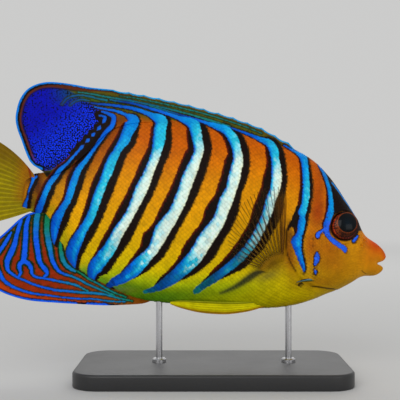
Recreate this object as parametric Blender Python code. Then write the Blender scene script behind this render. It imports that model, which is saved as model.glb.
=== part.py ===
"""Regal angelfish, life size, held over a flat base by two short rods.

The fish swims to +X with its flanks on -Y and +Y, and Z is the height over the floor.
Sizes are in millimetres; MM turns them into Blender's metres.
"""

import math

import bmesh
import bpy
import numpy as np

MM = 0.001
GAP = 0.3

# The body is a row of upright rings. Each station names the ring's top on the BACK, its foot on the
# KEEL, and half its BREADTH. The last three stations roll over the lips and into the mouth.
BACK = [
    (-66.5, 92.0), (-62.8, 94.1), (-57.2, 95.0), (-50.7, 97.1), (-43.3, 101.5), (-35.9, 108.2),
    (-28.5, 115.4), (-20.6, 119.1), (-9.1, 120.3), (4.8, 119.4), (18.7, 117.2), (32.6, 113.8),
    (46.5, 109.4), (58.1, 105.3), (67.3, 99.6), (74.3, 92.2), (79.8, 84.4), (84.0, 77.9),
    (86.9, 72.8), (88.8, 68.2), (90.6, 65.0), (93.2, 63.2), (96.0, 61.0), (98.6, 58.2),
    (100.0, 55.6), (98.2, 53.7), (94.5, 53.1),
]
KEEL = [
    (-68.3, 77.7), (-63.2, 75.8), (-57.7, 73.5), (-51.7, 66.1), (-45.6, 56.9), (-38.2, 48.5),
    (-29.4, 42.0), (-19.3, 37.4), (-8.1, 34.9), (5.7, 33.4), (19.6, 32.5), (32.6, 31.9),
    (45.6, 31.8), (56.7, 33.0), (65.9, 35.6), (72.4, 38.3), (78.0, 40.4), (82.1, 42.5),
    (85.4, 44.4), (87.7, 45.7), (90.0, 46.4), (92.8, 46.5), (95.1, 47.0), (97.4, 48.3),
    (98.6, 50.0), (97.4, 51.6), (94.5, 52.3),
]
BREADTH = [
    1.7, 3.0, 3.9, 4.8, 5.9, 7.1,
    8.3, 9.4, 10.9, 12.2, 13.0, 13.6,
    13.8, 13.5, 12.9, 12.2, 11.4, 10.4,
    9.2, 8.1, 7.1, 6.0, 4.9, 3.9,
    3.1, 2.5, 1.8,
]
# How far the ring's sides lie behind its top and foot, so that the mouth has corners
LAG = [0.0] * 21 + [0.4, 1.6, 3.1, 3.6, 2.4, 0.7]
LAG_POWER = 4
# The ring's outline is t**a * (1 - t)**b from keel to back: small powers are blunt, large ones sharp
TAIL_POWERS = (0.78, 0.78)
TRUNK_POWERS = (0.54, 0.66)
HEAD_POWERS = (0.5, 0.54)
TRUNK_STATION, HEAD_STATION = 8, 17
STEM_STATION = 3

# The gill opening parts the head from the trunk, and the gill cover stands over it
GILL = [
    (66.5, 120.0), (65.0, 102.0), (62.6, 92.0), (60.4, 84.0), (58.2, 76.5), (55.3, 71.8),
    (53.3, 67.4), (52.7, 62.4), (53.2, 57.4), (55.0, 53.0), (57.6, 49.2), (61.2, 45.6),
    (66.6, 42.9), (74.3, 40.4), (82.0, 34.0), (86.0, 20.0),
]
GILL_STEP = 0.8
GILL_STEP_REACH = 5.0
CHEEK_SPINE_ROOT = (68.4, 45.8)
CHEEK_SPINE_TIP = (57.2, 44.8)
CHEEK_SPINE_RADIUS = 1.1
CHEEK_SPINE_SUNK, CHEEK_SPINE_PROUD = 1.3, 2.1

EYE = (79.6, 70.0)
EYE_RADIUS = 6.7
EYE_BULGE = 2.5
EYE_DEPTH = 3.0
EYE_SEAT = 0.7
EYE_LOOK = (0.1, 0.14)
ORBIT_RIM = 0.5
NOSTRILS = [(89.0, 63.4), (87.4, 61.2)]
NOSTRIL_RADIUS = 0.7
NOSTRIL_LOOK = (0.3, 0.35)

# Median fins: the outer edge from front to back, and where on the body the fin begins and ends
DORSAL_SPINES = 14
SPINY_DORSAL_EDGE = [
    (60.4, 103.7), (55.4, 108.2), (50.6, 110.8), (42.8, 115.2), (34.9, 118.2), (26.6, 121.1), (18.2, 123.5),
    (11.3, 125.5), (3.4, 127.3), (-4.0, 128.9), (-11.4, 130.4), (-18.8, 131.7), (-25.3, 132.7),
]
SPINY_DORSAL_ROOT = (58.6, -17.5)
SPINE_NOTCH = 0.55
SOFT_DORSAL_RAYS = 18
SOFT_DORSAL_EDGE = [
    (-25.7, 132.8), (-36.9, 134.0), (-43.8, 135.3), (-50.7, 136.3), (-56.8, 136.5), (-61.9, 135.3),
    (-66.0, 132.8), (-69.0, 128.6), (-70.6, 123.5), (-71.1, 118.9), (-70.2, 114.3), (-68.3, 109.2),
    (-66.5, 104.1), (-64.6, 99.9), (-62.3, 97.5), (-59.4, 96.4),
]
SOFT_DORSAL_ROOT = (-17.9, -56.5)
ANAL_RAYS = 21
ANAL_EDGE = [
    (-8.2, 35.3), (-12.6, 33.9), (-20.6, 33.4), (-29.9, 33.2), (-41.5, 33.7), (-52.1, 34.2), (-63.7, 35.1),
    (-71.6, 36.9), (-78.5, 39.7), (-84.1, 43.4), (-87.8, 49.0), (-88.2, 55.0), (-84.1, 60.6),
    (-78.5, 65.0), (-73.9, 69.0), (-69.7, 72.2), (-65.0, 73.9), (-61.8, 74.2),
]
ANAL_ROOT = (-9.6, -57.3)
ROOT_SINK = 2.6
CAUDAL_RAYS = 17
CAUDAL_ROOT = [(-62.4, 93.0), (-62.0, 85.0), (-63.2, 77.0)]
CAUDAL_EDGE = [
    (-96.1, 115.2), (-98.6, 106.5), (-100.0, 92.0), (-99.4, 78.6), (-97.0, 68.4),
]
CAUDAL_BOW = (-4.2, 0.9)

# Paired fins. The pectoral's rays spread from one centre, from nearly upright to nearly level, and
# PECTORAL_REACH gives each direction, in degrees up from straight back, with the fin's reach there.
PECTORAL_RAYS = 15
PECTORAL_CENTRE = (51.2, 46.9)
PECTORAL_ROOT_REACH = 5.0
PECTORAL_REACH = [
    (91.5, 38.8), (88.0, 40.4), (82.0, 41.0), (75.0, 40.6), (66.0, 39.2), (56.0, 36.8), (46.0, 33.8),
    (37.0, 31.0), (30.0, 28.2), (24.0, 24.6), (20.0, 20.4),
]
PECTORAL_SINK = 1.6
PECTORAL_FLARE = math.radians(20)
PELVIC_LOWER = [
    (45.0, 33.8), (39.0, 31.6), (33.0, 30.3), (25.0, 29.5), (14.1, 30.2), (5.0, 32.3), (0.4, 34.0),
]
PELVIC_UPPER = [
    (44.0, 36.4), (39.0, 35.6), (33.0, 35.2), (25.0, 35.3), (14.1, 35.7), (5.0, 35.8), (0.4, 35.2),
]
PELVIC_RAYS = 6
PELVIC_INNER, PELVIC_SPLAY = 2.2, 0.8
PELVIC_SINK, PELVIC_BEND = 1.3, 6.0

# Half thicknesses of a fin: skin at its root and at its edge, and how much a ray stands out
FIN_ROOT_HALF, FIN_EDGE_HALF = 0.62, 0.27
RAY_ROOT_RIDGE, RAY_EDGE_RIDGE = 0.34, 0.12

# Stand
BASE_LENGTH, BASE_WIDTH, BASE_HEIGHT = 124.0, 66.0, 7.0
BASE_CENTRE_X = 20.0
BASE_CORNER, BASE_BEVEL = 12.0, 1.2
ROD_RADIUS = 1.5
ROD_SIDES = 16
ROD_PLACES = {"stand_rod_front": 55.0, "stand_rod_rear": -4.8}
ROD_IN_BASE, ROD_IN_FISH = 4.0, 4.5

COLOURS = {
    "flank": (0.86, 0.40, 0.03), "face": (0.78, 0.36, 0.03), "stem": (0.10, 0.22, 0.62),
    "blue_fin": (0.03, 0.06, 0.62), "green_fin": (0.20, 0.26, 0.04), "striped_fin": (0.55, 0.14, 0.03),
    "yellow_fin": (0.66, 0.55, 0.04), "eye": (0.02, 0.02, 0.03), "base": (0.03, 0.03, 0.03),
    "steel": (0.62, 0.62, 0.64),
}


def clear_scene():
    """Removes whatever the start-up file holds."""
    for thing in list(bpy.data.objects):
        bpy.data.objects.remove(thing, do_unlink=True)


def material(name, roughness=0.45, metallic=0.0):
    """The named Principled finish, made once."""
    found = bpy.data.materials.get(name)
    if found:
        return found
    made = bpy.data.materials.new(name)
    made.use_nodes = True
    shader = made.node_tree.nodes["Principled BSDF"]
    shader.inputs["Base Color"].default_value = (*COLOURS[name], 1.0)
    shader.inputs["Roughness"].default_value = roughness
    shader.inputs["Metallic"].default_value = metallic
    return made


def mesh_object(name, points, faces, finish):
    """A mesh object from points in millimetres."""
    mesh = bpy.data.meshes.new(name)
    mesh.from_pydata((np.asarray(points) * MM).tolist(), [], faces)
    mesh.update()
    made = bpy.data.objects.new(name, mesh)
    made.data.materials.append(finish)
    bpy.context.scene.collection.objects.link(made)
    return made


def face_outwards(thing):
    """Turns the faces of a closed mesh outwards."""
    shape = bmesh.new()
    shape.from_mesh(thing.data)
    bmesh.ops.recalc_face_normals(shape, faces=shape.faces)
    if shape.calc_volume(signed=True) < 0:
        bmesh.ops.reverse_faces(shape, faces=shape.faces)
    shape.to_mesh(thing.data)
    shape.free()


def keep_largest(thing):
    """Drops every closed surface but the largest one."""
    shape = bmesh.new()
    shape.from_mesh(thing.data)
    left, islands = set(shape.verts), []
    while left:
        island, rim = set(), [left.pop()]
        while rim:
            corner = rim.pop()
            island.add(corner)
            for edge in corner.link_edges:
                other = edge.other_vert(corner)
                if other in left:
                    left.discard(other)
                    rim.append(other)
        islands.append(island)
    islands.sort(key=len)
    for island in islands[:-1]:
        bmesh.ops.delete(shape, geom=list(island), context="VERTS")
    shape.to_mesh(thing.data)
    shape.free()


def boolean(thing, tools, operation):
    """Joins or cuts thing with a collection of closed tools, applies it, and removes the tools."""
    group = bpy.data.collections.new(thing.name + "_tools")
    for tool in tools:
        group.objects.link(tool)
    modifier = thing.modifiers.new(operation.lower(), "BOOLEAN")
    modifier.operation = operation
    modifier.operand_type = "COLLECTION"
    modifier.collection = group
    modifier.solver = "EXACT"
    graph = bpy.context.evaluated_depsgraph_get()
    joined = bpy.data.meshes.new_from_object(thing.evaluated_get(graph))
    thing.modifiers.clear()
    thing.data = joined
    for tool in tools:
        bpy.data.objects.remove(tool, do_unlink=True)
    bpy.data.collections.remove(group)
    keep_largest(thing)


def round_off(thing, degrees=40):
    """Shades a solid smooth and keeps its sharp edges."""
    thing.data.shade_smooth()
    thing.data.set_sharp_from_angle(angle=math.radians(degrees))


def along(table, place):
    """Smooth (Catmull-Rom) values of a station table at fractional stations."""
    table = np.asarray(table, float)
    place = np.clip(np.asarray(place, float), 0, len(table) - 1)
    first = np.minimum(place.astype(int), len(table) - 2)
    share = (place - first).reshape(place.shape + (1,) * (table.ndim - 1))
    before = table[np.maximum(first - 1, 0)]
    here, there = table[first], table[first + 1]
    after = table[np.minimum(first + 2, len(table) - 1)]
    return 0.5 * (
        2 * here
        + (there - before) * share
        + (2 * before - 5 * here + 4 * there - after) * share**2
        + (3 * here - before - 3 * there + after) * share**3
    )


def evenly(points, count):
    """count points at even distances along a smooth curve through points."""
    fine = along(points, np.linspace(0, len(points) - 1, 40 * len(points)))
    steps = np.linalg.norm(np.diff(fine, axis=0), axis=1)
    distance = np.concatenate([[0], np.cumsum(steps)])
    wanted = np.linspace(0, distance[-1], count)
    return np.stack([np.interp(wanted, distance, fine[:, k]) for k in range(fine.shape[1])], axis=1)


def mix(low, high, share):
    return low + (high - low) * share


def ring_powers(station):
    """The two powers of a ring's outline at a station."""
    if station < TRUNK_STATION:
        low, high, share = TAIL_POWERS, TRUNK_POWERS, station / TRUNK_STATION
    else:
        low, high = TRUNK_POWERS, HEAD_POWERS
        share = min(1.0, (station - TRUNK_STATION) / (HEAD_STATION - TRUNK_STATION))
    return mix(low[0], high[0], share), mix(low[1], high[1], share)


def ring(station, sides, grow=0.0, swell=None):
    """The points of one ring, from the keel round by -Y to the back and down by +Y."""
    top, foot = along(BACK, station), along(KEEL, station)
    upright = (top - foot) / np.linalg.norm(top - foot)
    top, foot = top + upright * grow, foot - upright * grow
    turn = np.linspace(0, 2 * math.pi, sides, endpoint=False)
    height = (1 - np.cos(turn)) / 2
    low, high = ring_powers(station)
    peak = low / (low + high)
    outline = height**low * (1 - height) ** high / (peak**low * (1 - peak) ** high)
    reach = (along(BREADTH, station) + grow) * outline
    middle = foot + height[:, None] * (top - foot)
    middle[:, 0] -= along(LAG, station) * np.abs(np.sin(turn)) ** LAG_POWER
    if swell is not None:
        reach = reach + swell(middle) * np.minimum(1.0, 1.6 * np.abs(np.sin(turn)))
    side = -np.sign(np.round(np.sin(turn), 6))
    return np.stack([middle[:, 0], side * reach, middle[:, 1]], axis=1)


def body_solid(name, stations, sides, finish, grow=0.0, swell=None):
    """A closed length of the body, capped at its first and last station."""
    rings = [ring(station, sides, grow, swell) for station in stations]
    points = np.concatenate(rings + [rings[0].mean(axis=0)[None], rings[-1].mean(axis=0)[None]])
    faces = []
    for i in range(len(rings) - 1):
        for k in range(sides):
            near, far = i * sides + k, i * sides + (k + 1) % sides
            faces += [(near, far, far + sides), (near, far + sides, near + sides)]
    first, last = len(points) - 2, len(points) - 1
    start = (len(rings) - 1) * sides
    for k in range(sides):
        faces.append((first, (k + 1) % sides, k))
        faces.append((last, start + k, start + (k + 1) % sides))
    made = mesh_object(name, points, faces, finish)
    face_outwards(made)
    return made


def flank(x, z):
    """Half the body's breadth at a place on its side."""
    stations = np.linspace(0, HEAD_STATION + 6, 320)
    sides = 96
    skin = np.concatenate([ring(s, sides)[: sides // 2 + 1] for s in stations])
    near = (skin[:, 0] - x) ** 2 + (skin[:, 2] - z) ** 2
    nearest = np.argsort(near)[:4]
    weight = 1 / (near[nearest] + 1e-4)
    return float((np.abs(skin[nearest, 1]) * weight).sum() / weight.sum())


def gill_distance(middle):
    """Distance of each (x, z) from the gill opening."""
    line = evenly(GILL, 200)
    return np.linalg.norm(middle[:, None, :] - line[None], axis=2).min(axis=1)


def head_swell(middle):
    """The gill cover's raised edge and the rim of the orbit."""
    cover = GILL_STEP * np.exp(-((gill_distance(middle) / GILL_STEP_REACH) ** 2))
    from_eye = np.linalg.norm(middle - np.array(EYE), axis=1)
    rim = ORBIT_RIM * np.exp(-(((from_eye - EYE_RADIUS - 0.8) / 1.6) ** 2))
    return cover + rim


def prism(name, outline, reach):
    """A block with the given side outline, across the whole fish."""
    count = len(outline)
    points = [(x, -reach, z) for x, z in outline] + [(x, reach, z) for x, z in outline]
    faces = [tuple(range(count)), tuple(range(2 * count - 1, count - 1, -1))]
    for k in range(count):
        nxt = (k + 1) % count
        faces.append((k, k + count, nxt + count, nxt))
    made = mesh_object(name, points, faces, material("flank"))
    face_outwards(made)
    return made


def gill_block(name, towards_head, shift):
    """Everything ahead of the gill opening, or behind it, moved by shift along X."""
    line = evenly(GILL, 26) + np.array([shift, 0.0])
    far = 140.0 if towards_head else -100.0
    outline = [tuple(p) for p in line] + [(far, line[-1][1]), (far, line[0][1])]
    return prism(name, outline, 40.0)


def lathe(name, profile, sides, centre, axis, finish):
    """A turned solid. The profile runs from the axis to the axis as (radius, along the axis)."""
    axis = np.asarray(axis, float) / np.linalg.norm(axis)
    across = np.cross(axis, (0.0, 0.0, 1.0))
    across = across / np.linalg.norm(across) if np.linalg.norm(across) > 1e-6 else np.array([1.0, 0, 0])
    upward = np.cross(axis, across)
    centre = np.asarray(centre, float)
    points, faces = [centre + axis * profile[0][1]], []
    for radius, height in profile[1:-1]:
        for k in range(sides):
            turn = 2 * math.pi * k / sides
            spoke = across * math.cos(turn) + upward * math.sin(turn)
            points.append(centre + axis * height + radius * spoke)
    points.append(centre + axis * profile[-1][1])
    rows = len(profile) - 2
    last = len(points) - 1
    for k in range(sides):
        nxt = (k + 1) % sides
        faces.append((0, 1 + k, 1 + nxt))
        faces.append((last, 1 + (rows - 1) * sides + nxt, 1 + (rows - 1) * sides + k))
        for i in range(rows - 1):
            here, below = 1 + i * sides, 1 + (i + 1) * sides
            faces.append((here + k, below + k, below + nxt, here + nxt))
    made = mesh_object(name, points, faces, finish)
    face_outwards(made)
    return made


def eye_axis(side):
    """The eye looks out sideways, a little ahead and up, square to the cheek that it sits in."""
    return (EYE_LOOK[0], side, EYE_LOOK[1])


def eye_solid(name, side, grow=0.0):
    """A cornea and the front of the ball behind it, side -1 is the right eye."""
    radius = EYE_RADIUS + grow
    profile = [
        (0.0, EYE_BULGE + grow), (0.42 * radius, 0.86 * EYE_BULGE + grow),
        (0.74 * radius, 0.48 * EYE_BULGE + grow), (0.94 * radius, 0.0), (radius, -0.3 * EYE_DEPTH),
        (0.98 * radius, -EYE_DEPTH - grow), (0.0, -EYE_DEPTH - grow),
    ]
    seat = flank(*EYE) - EYE_SEAT
    return lathe(name, profile, 24, (EYE[0], side * seat, EYE[1]), eye_axis(side), material("eye", 0.08))


def thorn(name, root, tip, radius, finish, sides=7, rows=5):
    """A tapered spine with a slight curve, closed at both ends."""
    root, tip = np.asarray(root, float), np.asarray(tip, float)
    axis = (tip - root) / np.linalg.norm(tip - root)
    across = np.cross(axis, (0.0, 0.0, 1.0))
    across /= np.linalg.norm(across)
    upward = np.cross(axis, across)
    points, faces = [], []
    for i in range(rows):
        share = i / rows
        middle = root + (tip - root) * share + upward * 0.5 * math.sin(math.pi * share)
        width = radius * (1 - share) ** 0.8
        for k in range(sides):
            turn = 2 * math.pi * k / sides
            points.append(middle + width * (across * math.cos(turn) + upward * 1.3 * math.sin(turn)))
    points += [tip, root]
    for k in range(sides):
        nxt = (k + 1) % sides
        for i in range(rows - 1):
            faces.append((i * sides + k, i * sides + nxt, (i + 1) * sides + nxt, (i + 1) * sides + k))
        faces.append(((rows - 1) * sides + k, (rows - 1) * sides + nxt, len(points) - 2))
        faces.append((nxt, k, len(points) - 1))
    made = mesh_object(name, points, faces, finish)
    face_outwards(made)
    return made


def cheek_spine(side):
    """The stout spine at the lower corner of the cheek, which points back over the gill cover."""
    root_x, root_z = CHEEK_SPINE_ROOT
    tip_x, tip_z = CHEEK_SPINE_TIP
    root = (root_x, side * (flank(root_x, root_z) - CHEEK_SPINE_SUNK), root_z)
    tip = (tip_x, side * (flank(tip_x, tip_z) + CHEEK_SPINE_PROUD), tip_z)
    return thorn("cheek_spine", root, tip, CHEEK_SPINE_RADIUS, material("face"))


def build_head():
    stations = np.concatenate([np.linspace(12, 23, 23), [23.5, 24, 24.5, 25, 26]])
    head = body_solid("head", stations, 32, material("face"), swell=head_swell)
    boolean(head, [gill_block("ahead", True, GAP / 2)], "INTERSECT")
    boolean(head, [cheek_spine(-1), cheek_spine(1)], "UNION")
    pits = [eye_solid("socket", side, GAP) for side in (-1, 1)]
    for x, z in NOSTRILS:
        for side in (-1, 1):
            skin = flank(x, z)
            profile = [(0, 1.6), (NOSTRIL_RADIUS, 1.6), (NOSTRIL_RADIUS, -0.7), (0, -1.0)]
            axis = (NOSTRIL_LOOK[0], side, NOSTRIL_LOOK[1])
            pits.append(lathe("nostril", profile, 8, (x, side * skin, z), axis, material("face")))
    boolean(head, pits, "DIFFERENCE")
    round_off(head)


def rod_profile(low, high, grow=0.0):
    return [(0, low), (ROD_RADIUS + grow, low), (ROD_RADIUS + grow, high), (0, high)]


def keel_height(x):
    """Height of the belly over the floor at x."""
    line = along(KEEL, np.linspace(0, HEAD_STATION, 600))
    order = np.argsort(line[:, 0])
    return float(np.interp(x, line[order, 0], line[order, 1]))


def upright_rod(name, x, low, high, grow=0.0):
    """A round rod on the fish's middle plane, grown for the hole that it stands in."""
    profile = rod_profile(low, high, grow)
    return lathe(name, profile, ROD_SIDES, (x, 0, 0), (0, 0, 1), material("steel", 0.25, 1.0))


def rod_top(x):
    return keel_height(x) + ROD_IN_FISH


def build_trunk():
    stations = np.linspace(STEM_STATION, 16, 27)
    trunk = body_solid("trunk", stations, 28, material("flank"))
    boolean(trunk, [gill_block("behind", False, -GAP / 2)], "INTERSECT")
    holes = [upright_rod("hole", x, BASE_HEIGHT, rod_top(x) + GAP, GAP) for x in ROD_PLACES.values()]
    boolean(trunk, holes, "DIFFERENCE")
    round_off(trunk)


def build_tail_stem():
    stem = body_solid("tail_stem", np.linspace(0, STEM_STATION - 0.05, 7), 24, material("stem"))
    round_off(stem)


def body_cutter():
    """The whole body grown by the gap, which shapes the foot of each fin."""
    stations = np.concatenate([np.linspace(0, 23, 47), [23.5, 24, 25, 26]])
    cutter = body_solid("body_cutter", stations, 32, material("flank"), grow=GAP)
    cutter.hide_render = True
    cutter.display_type = "WIRE"
    return cutter


def shape_foot(fin, cutter):
    """Cuts away whatever of a fin would lie inside the body."""
    tool = cutter.copy()
    bpy.context.scene.collection.objects.link(tool)
    boolean(fin, [tool], "DIFFERENCE")


def sheet_solid(name, middle, normal, half, finish):
    """A closed fin from a grid of points, their normals and half thicknesses, split alike on both faces."""
    columns, rows = middle.shape[:2]
    offset = normal * half[..., None]
    points = np.concatenate([(middle - offset).reshape(-1, 3), (middle + offset).reshape(-1, 3)])
    back = columns * rows
    faces = []
    for i in range(columns - 1):
        for j in range(rows - 1):
            a, b = i * rows + j, (i + 1) * rows + j
            faces += [(a, b, b + 1), (a, b + 1, a + 1)]
            faces += [(a + back, b + 1 + back, b + back), (a + back, a + 1 + back, b + 1 + back)]
    for i in range(columns - 1):
        for j in (0, rows - 1):
            a, b = i * rows + j, (i + 1) * rows + j
            faces += [(a, b, b + back), (a, b + back, a + back)]
    for j in range(rows - 1):
        for i in (0, columns - 1):
            a, b = i * rows + j, i * rows + j + 1
            faces += [(a, b, b + back), (a, b + back, a + back)]
    made = mesh_object(name, points, faces, finish)
    face_outwards(made)
    return made


def fin_thickness(columns, rows, ray_gain=1.0):
    """Half thickness over a fin's grid. Even columns are rays, which stand out as ridges."""
    out = np.linspace(0, 1, rows)[None, :]
    skin = mix(FIN_ROOT_HALF, FIN_EDGE_HALF, out) * np.ones((columns, 1))
    ridge = mix(RAY_ROOT_RIDGE, RAY_EDGE_RIDGE, out) * ray_gain
    is_ray = (np.arange(columns) % 2 == 0)[:, None]
    return skin + ridge * is_ray


def fan(root, edge, rays, rows, bow=(0.0, 0.0), notch=0.0):
    """Grid of (x, z) points of a fin. Rays run from the root to the edge and may bow."""
    columns = 2 * rays - 1
    start, end = evenly(root, columns), evenly(edge, columns)
    length = np.linalg.norm(end - start, axis=1, keepdims=True)
    between = (np.arange(columns) % 2 == 1)[:, None]
    end = end - (end - start) / length * notch * between
    out = np.linspace(0, 1, rows)[None, :, None]
    grid = start[:, None] + (end - start)[:, None] * out
    across = np.stack([-(end - start)[:, 1], (end - start)[:, 0]], axis=1) / length
    amount = np.linspace(bow[0], bow[1], columns)[:, None, None]
    return grid + across[:, None] * amount * 4 * out * (1 - out)


def body_line(line, limits, sink, towards):
    """Points of the back or the keel between two x limits, sunk towards the middle of the body."""
    stations = np.linspace(0, HEAD_STATION, 700)
    edge, other = along(line, stations), along(towards, stations)
    inward = (other - edge) / np.linalg.norm(other - edge, axis=1, keepdims=True)
    place = edge + inward * sink
    order = np.argsort(edge[:, 0])
    wanted = np.linspace(limits[0], limits[1], 12)
    return [tuple(np.interp(x, edge[order, 0], place[order, k]) for k in (0, 1)) for x in wanted]


def median_fin(name, grid, finish, cutter, ray_gain=1.0):
    """A fin in the fish's middle plane, its foot cut to fit the body."""
    columns, rows = grid.shape[:2]
    middle = np.stack([grid[..., 0], np.zeros((columns, rows)), grid[..., 1]], axis=2)
    normal = np.broadcast_to(np.array([0.0, 1.0, 0.0]), middle.shape)
    fin = sheet_solid(name, middle, normal, fin_thickness(columns, rows, ray_gain), finish)
    shape_foot(fin, cutter)
    round_off(fin, 30)


def build_dorsal_fin(cutter):
    root = body_line(BACK, SPINY_DORSAL_ROOT, ROOT_SINK, KEEL)
    spiny = fan(root, SPINY_DORSAL_EDGE, DORSAL_SPINES, 4, notch=SPINE_NOTCH)
    median_fin("dorsal_fin_spiny", spiny, material("green_fin"), cutter, ray_gain=1.3)
    root = body_line(BACK, SOFT_DORSAL_ROOT, ROOT_SINK, KEEL)
    soft = fan(root, SOFT_DORSAL_EDGE, SOFT_DORSAL_RAYS, 6)
    median_fin("dorsal_fin_soft", soft, material("blue_fin"), cutter)


def build_anal_fin(cutter):
    root = body_line(KEEL, ANAL_ROOT, ROOT_SINK, BACK)
    grid = fan(root, ANAL_EDGE, ANAL_RAYS, 6)
    median_fin("anal_fin", grid, material("striped_fin"), cutter)


def build_tail_fin(cutter):
    grid = fan(CAUDAL_ROOT, CAUDAL_EDGE, CAUDAL_RAYS, 7, bow=CAUDAL_BOW)
    median_fin("tail_fin", grid, material("yellow_fin"), cutter)


def sheet_normal(middle):
    """One direction square to most of a grid of points, the same for all of them."""
    down = np.gradient(middle, axis=0)
    out = np.gradient(middle, axis=1)
    normal = np.cross(down, out).sum(axis=(0, 1))
    return np.broadcast_to(normal / np.linalg.norm(normal), middle.shape)


def from_centre(centre, degrees, reach):
    """A place on the flank at a direction and distance from the pectoral's centre."""
    turn = math.radians(degrees)
    return (centre[0] - reach * math.cos(turn), centre[1] + reach * math.sin(turn))


def build_pectoral_fin(name, side, cutter):
    """A fan held a little away from the flank."""
    root = [from_centre(PECTORAL_CENTRE, degrees, PECTORAL_ROOT_REACH) for degrees, _ in PECTORAL_REACH]
    edge = [from_centre(PECTORAL_CENTRE, degrees, reach) for degrees, reach in PECTORAL_REACH]
    grid = fan(root, edge, PECTORAL_RAYS, 6)
    base = grid[:, :1]
    distance = np.linalg.norm(grid - base, axis=2)
    seat = np.array([flank(x, z) for x, z in base[:, 0]])[:, None] - PECTORAL_SINK
    out = seat + PECTORAL_SINK * np.minimum(1, distance / 3.0) + distance * math.sin(PECTORAL_FLARE)
    middle = np.stack([grid[..., 0], side * out, grid[..., 1]], axis=2)
    columns, rows = out.shape
    half = fin_thickness(columns, rows, ray_gain=0.8)
    fin = sheet_solid(name, middle, sheet_normal(middle), half, material("yellow_fin"))
    shape_foot(fin, cutter)
    round_off(fin, 30)


def build_pelvic_fin(name, side, cutter):
    """A folded fin that hangs beside the keel, bent clear of the belly behind its root."""
    rows = 10
    columns = 2 * PELVIC_RAYS - 1
    lower, upper = evenly(PELVIC_LOWER, rows), evenly(PELVIC_UPPER, rows)
    share = np.linspace(0, 1, columns)[:, None, None]
    grid = lower[None] * (1 - share) + upper[None] * share
    hung = PELVIC_INNER + PELVIC_SPLAY * (grid[..., 1] - lower[None, :, 1])
    sunk = np.array([flank(x, z) for x, z in grid[:, 0]])[:, None] - PELVIC_SINK
    free = np.minimum(1, np.linalg.norm(grid - grid[:, :1], axis=2) / PELVIC_BEND)
    out = mix(sunk, hung, free * free * (3 - 2 * free))
    middle = np.stack([grid[..., 0], side * out, grid[..., 1]], axis=2)
    half = fin_thickness(columns, rows, ray_gain=0.5) * 0.8
    fin = sheet_solid(name, middle, sheet_normal(middle), half, material("yellow_fin"))
    shape_foot(fin, cutter)
    round_off(fin, 30)


def build_eyes():
    for name, side in (("eye_right", -1), ("eye_left", 1)):
        eye = eye_solid(name, side)
        round_off(eye)


def build_base():
    """A flat plate with rounded corners and a bevelled edge, bored for the rods."""
    corner_steps = 6
    outline = []
    for cx, cy, start in ((1, 1, 0), (-1, 1, 90), (-1, -1, 180), (1, -1, 270)):
        middle_x = BASE_CENTRE_X + cx * (BASE_LENGTH / 2 - BASE_CORNER)
        middle_y = cy * (BASE_WIDTH / 2 - BASE_CORNER)
        for k in range(corner_steps):
            turn = math.radians(start + 90 * k / (corner_steps - 1))
            outline.append((middle_x + BASE_CORNER * math.cos(turn), middle_y + BASE_CORNER * math.sin(turn)))
    count = len(outline)
    points = [(x, y, 0.0) for x, y in outline] + [(x, y, BASE_HEIGHT) for x, y in outline]
    faces = [tuple(range(count - 1, -1, -1)), tuple(range(count, 2 * count))]
    faces += [(k, (k + 1) % count, (k + 1) % count + count, k + count) for k in range(count)]
    base = mesh_object("stand_base", points, faces, material("base", 0.35))
    shape = bmesh.new()
    shape.from_mesh(base.data)
    rim = [e for e in shape.edges if all(v.co.z > (BASE_HEIGHT - 0.01) * MM for v in e.verts)]
    bmesh.ops.bevel(shape, geom=rim, offset=BASE_BEVEL * MM, segments=3, profile=0.5, affect="EDGES")
    shape.to_mesh(base.data)
    shape.free()
    low, high = BASE_HEIGHT - ROD_IN_BASE - GAP, 2 * BASE_HEIGHT
    bores = [upright_rod("bore", x, low, high, GAP) for x in ROD_PLACES.values()]
    boolean(base, bores, "DIFFERENCE")
    round_off(base, 30)


def build_rods():
    for name, x in ROD_PLACES.items():
        rod = upright_rod(name, x, BASE_HEIGHT - ROD_IN_BASE, rod_top(x))
        round_off(rod)


def main():
    clear_scene()
    build_head()
    build_trunk()
    build_tail_stem()
    cutter = body_cutter()
    build_dorsal_fin(cutter)
    build_anal_fin(cutter)
    build_tail_fin(cutter)
    build_pectoral_fin("pectoral_fin_right", -1, cutter)
    build_pectoral_fin("pectoral_fin_left", 1, cutter)
    build_pelvic_fin("pelvic_fin_right", -1, cutter)
    build_pelvic_fin("pelvic_fin_left", 1, cutter)
    bpy.data.objects.remove(cutter, do_unlink=True)
    build_eyes()
    build_base()
    build_rods()


main()
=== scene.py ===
import math

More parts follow.
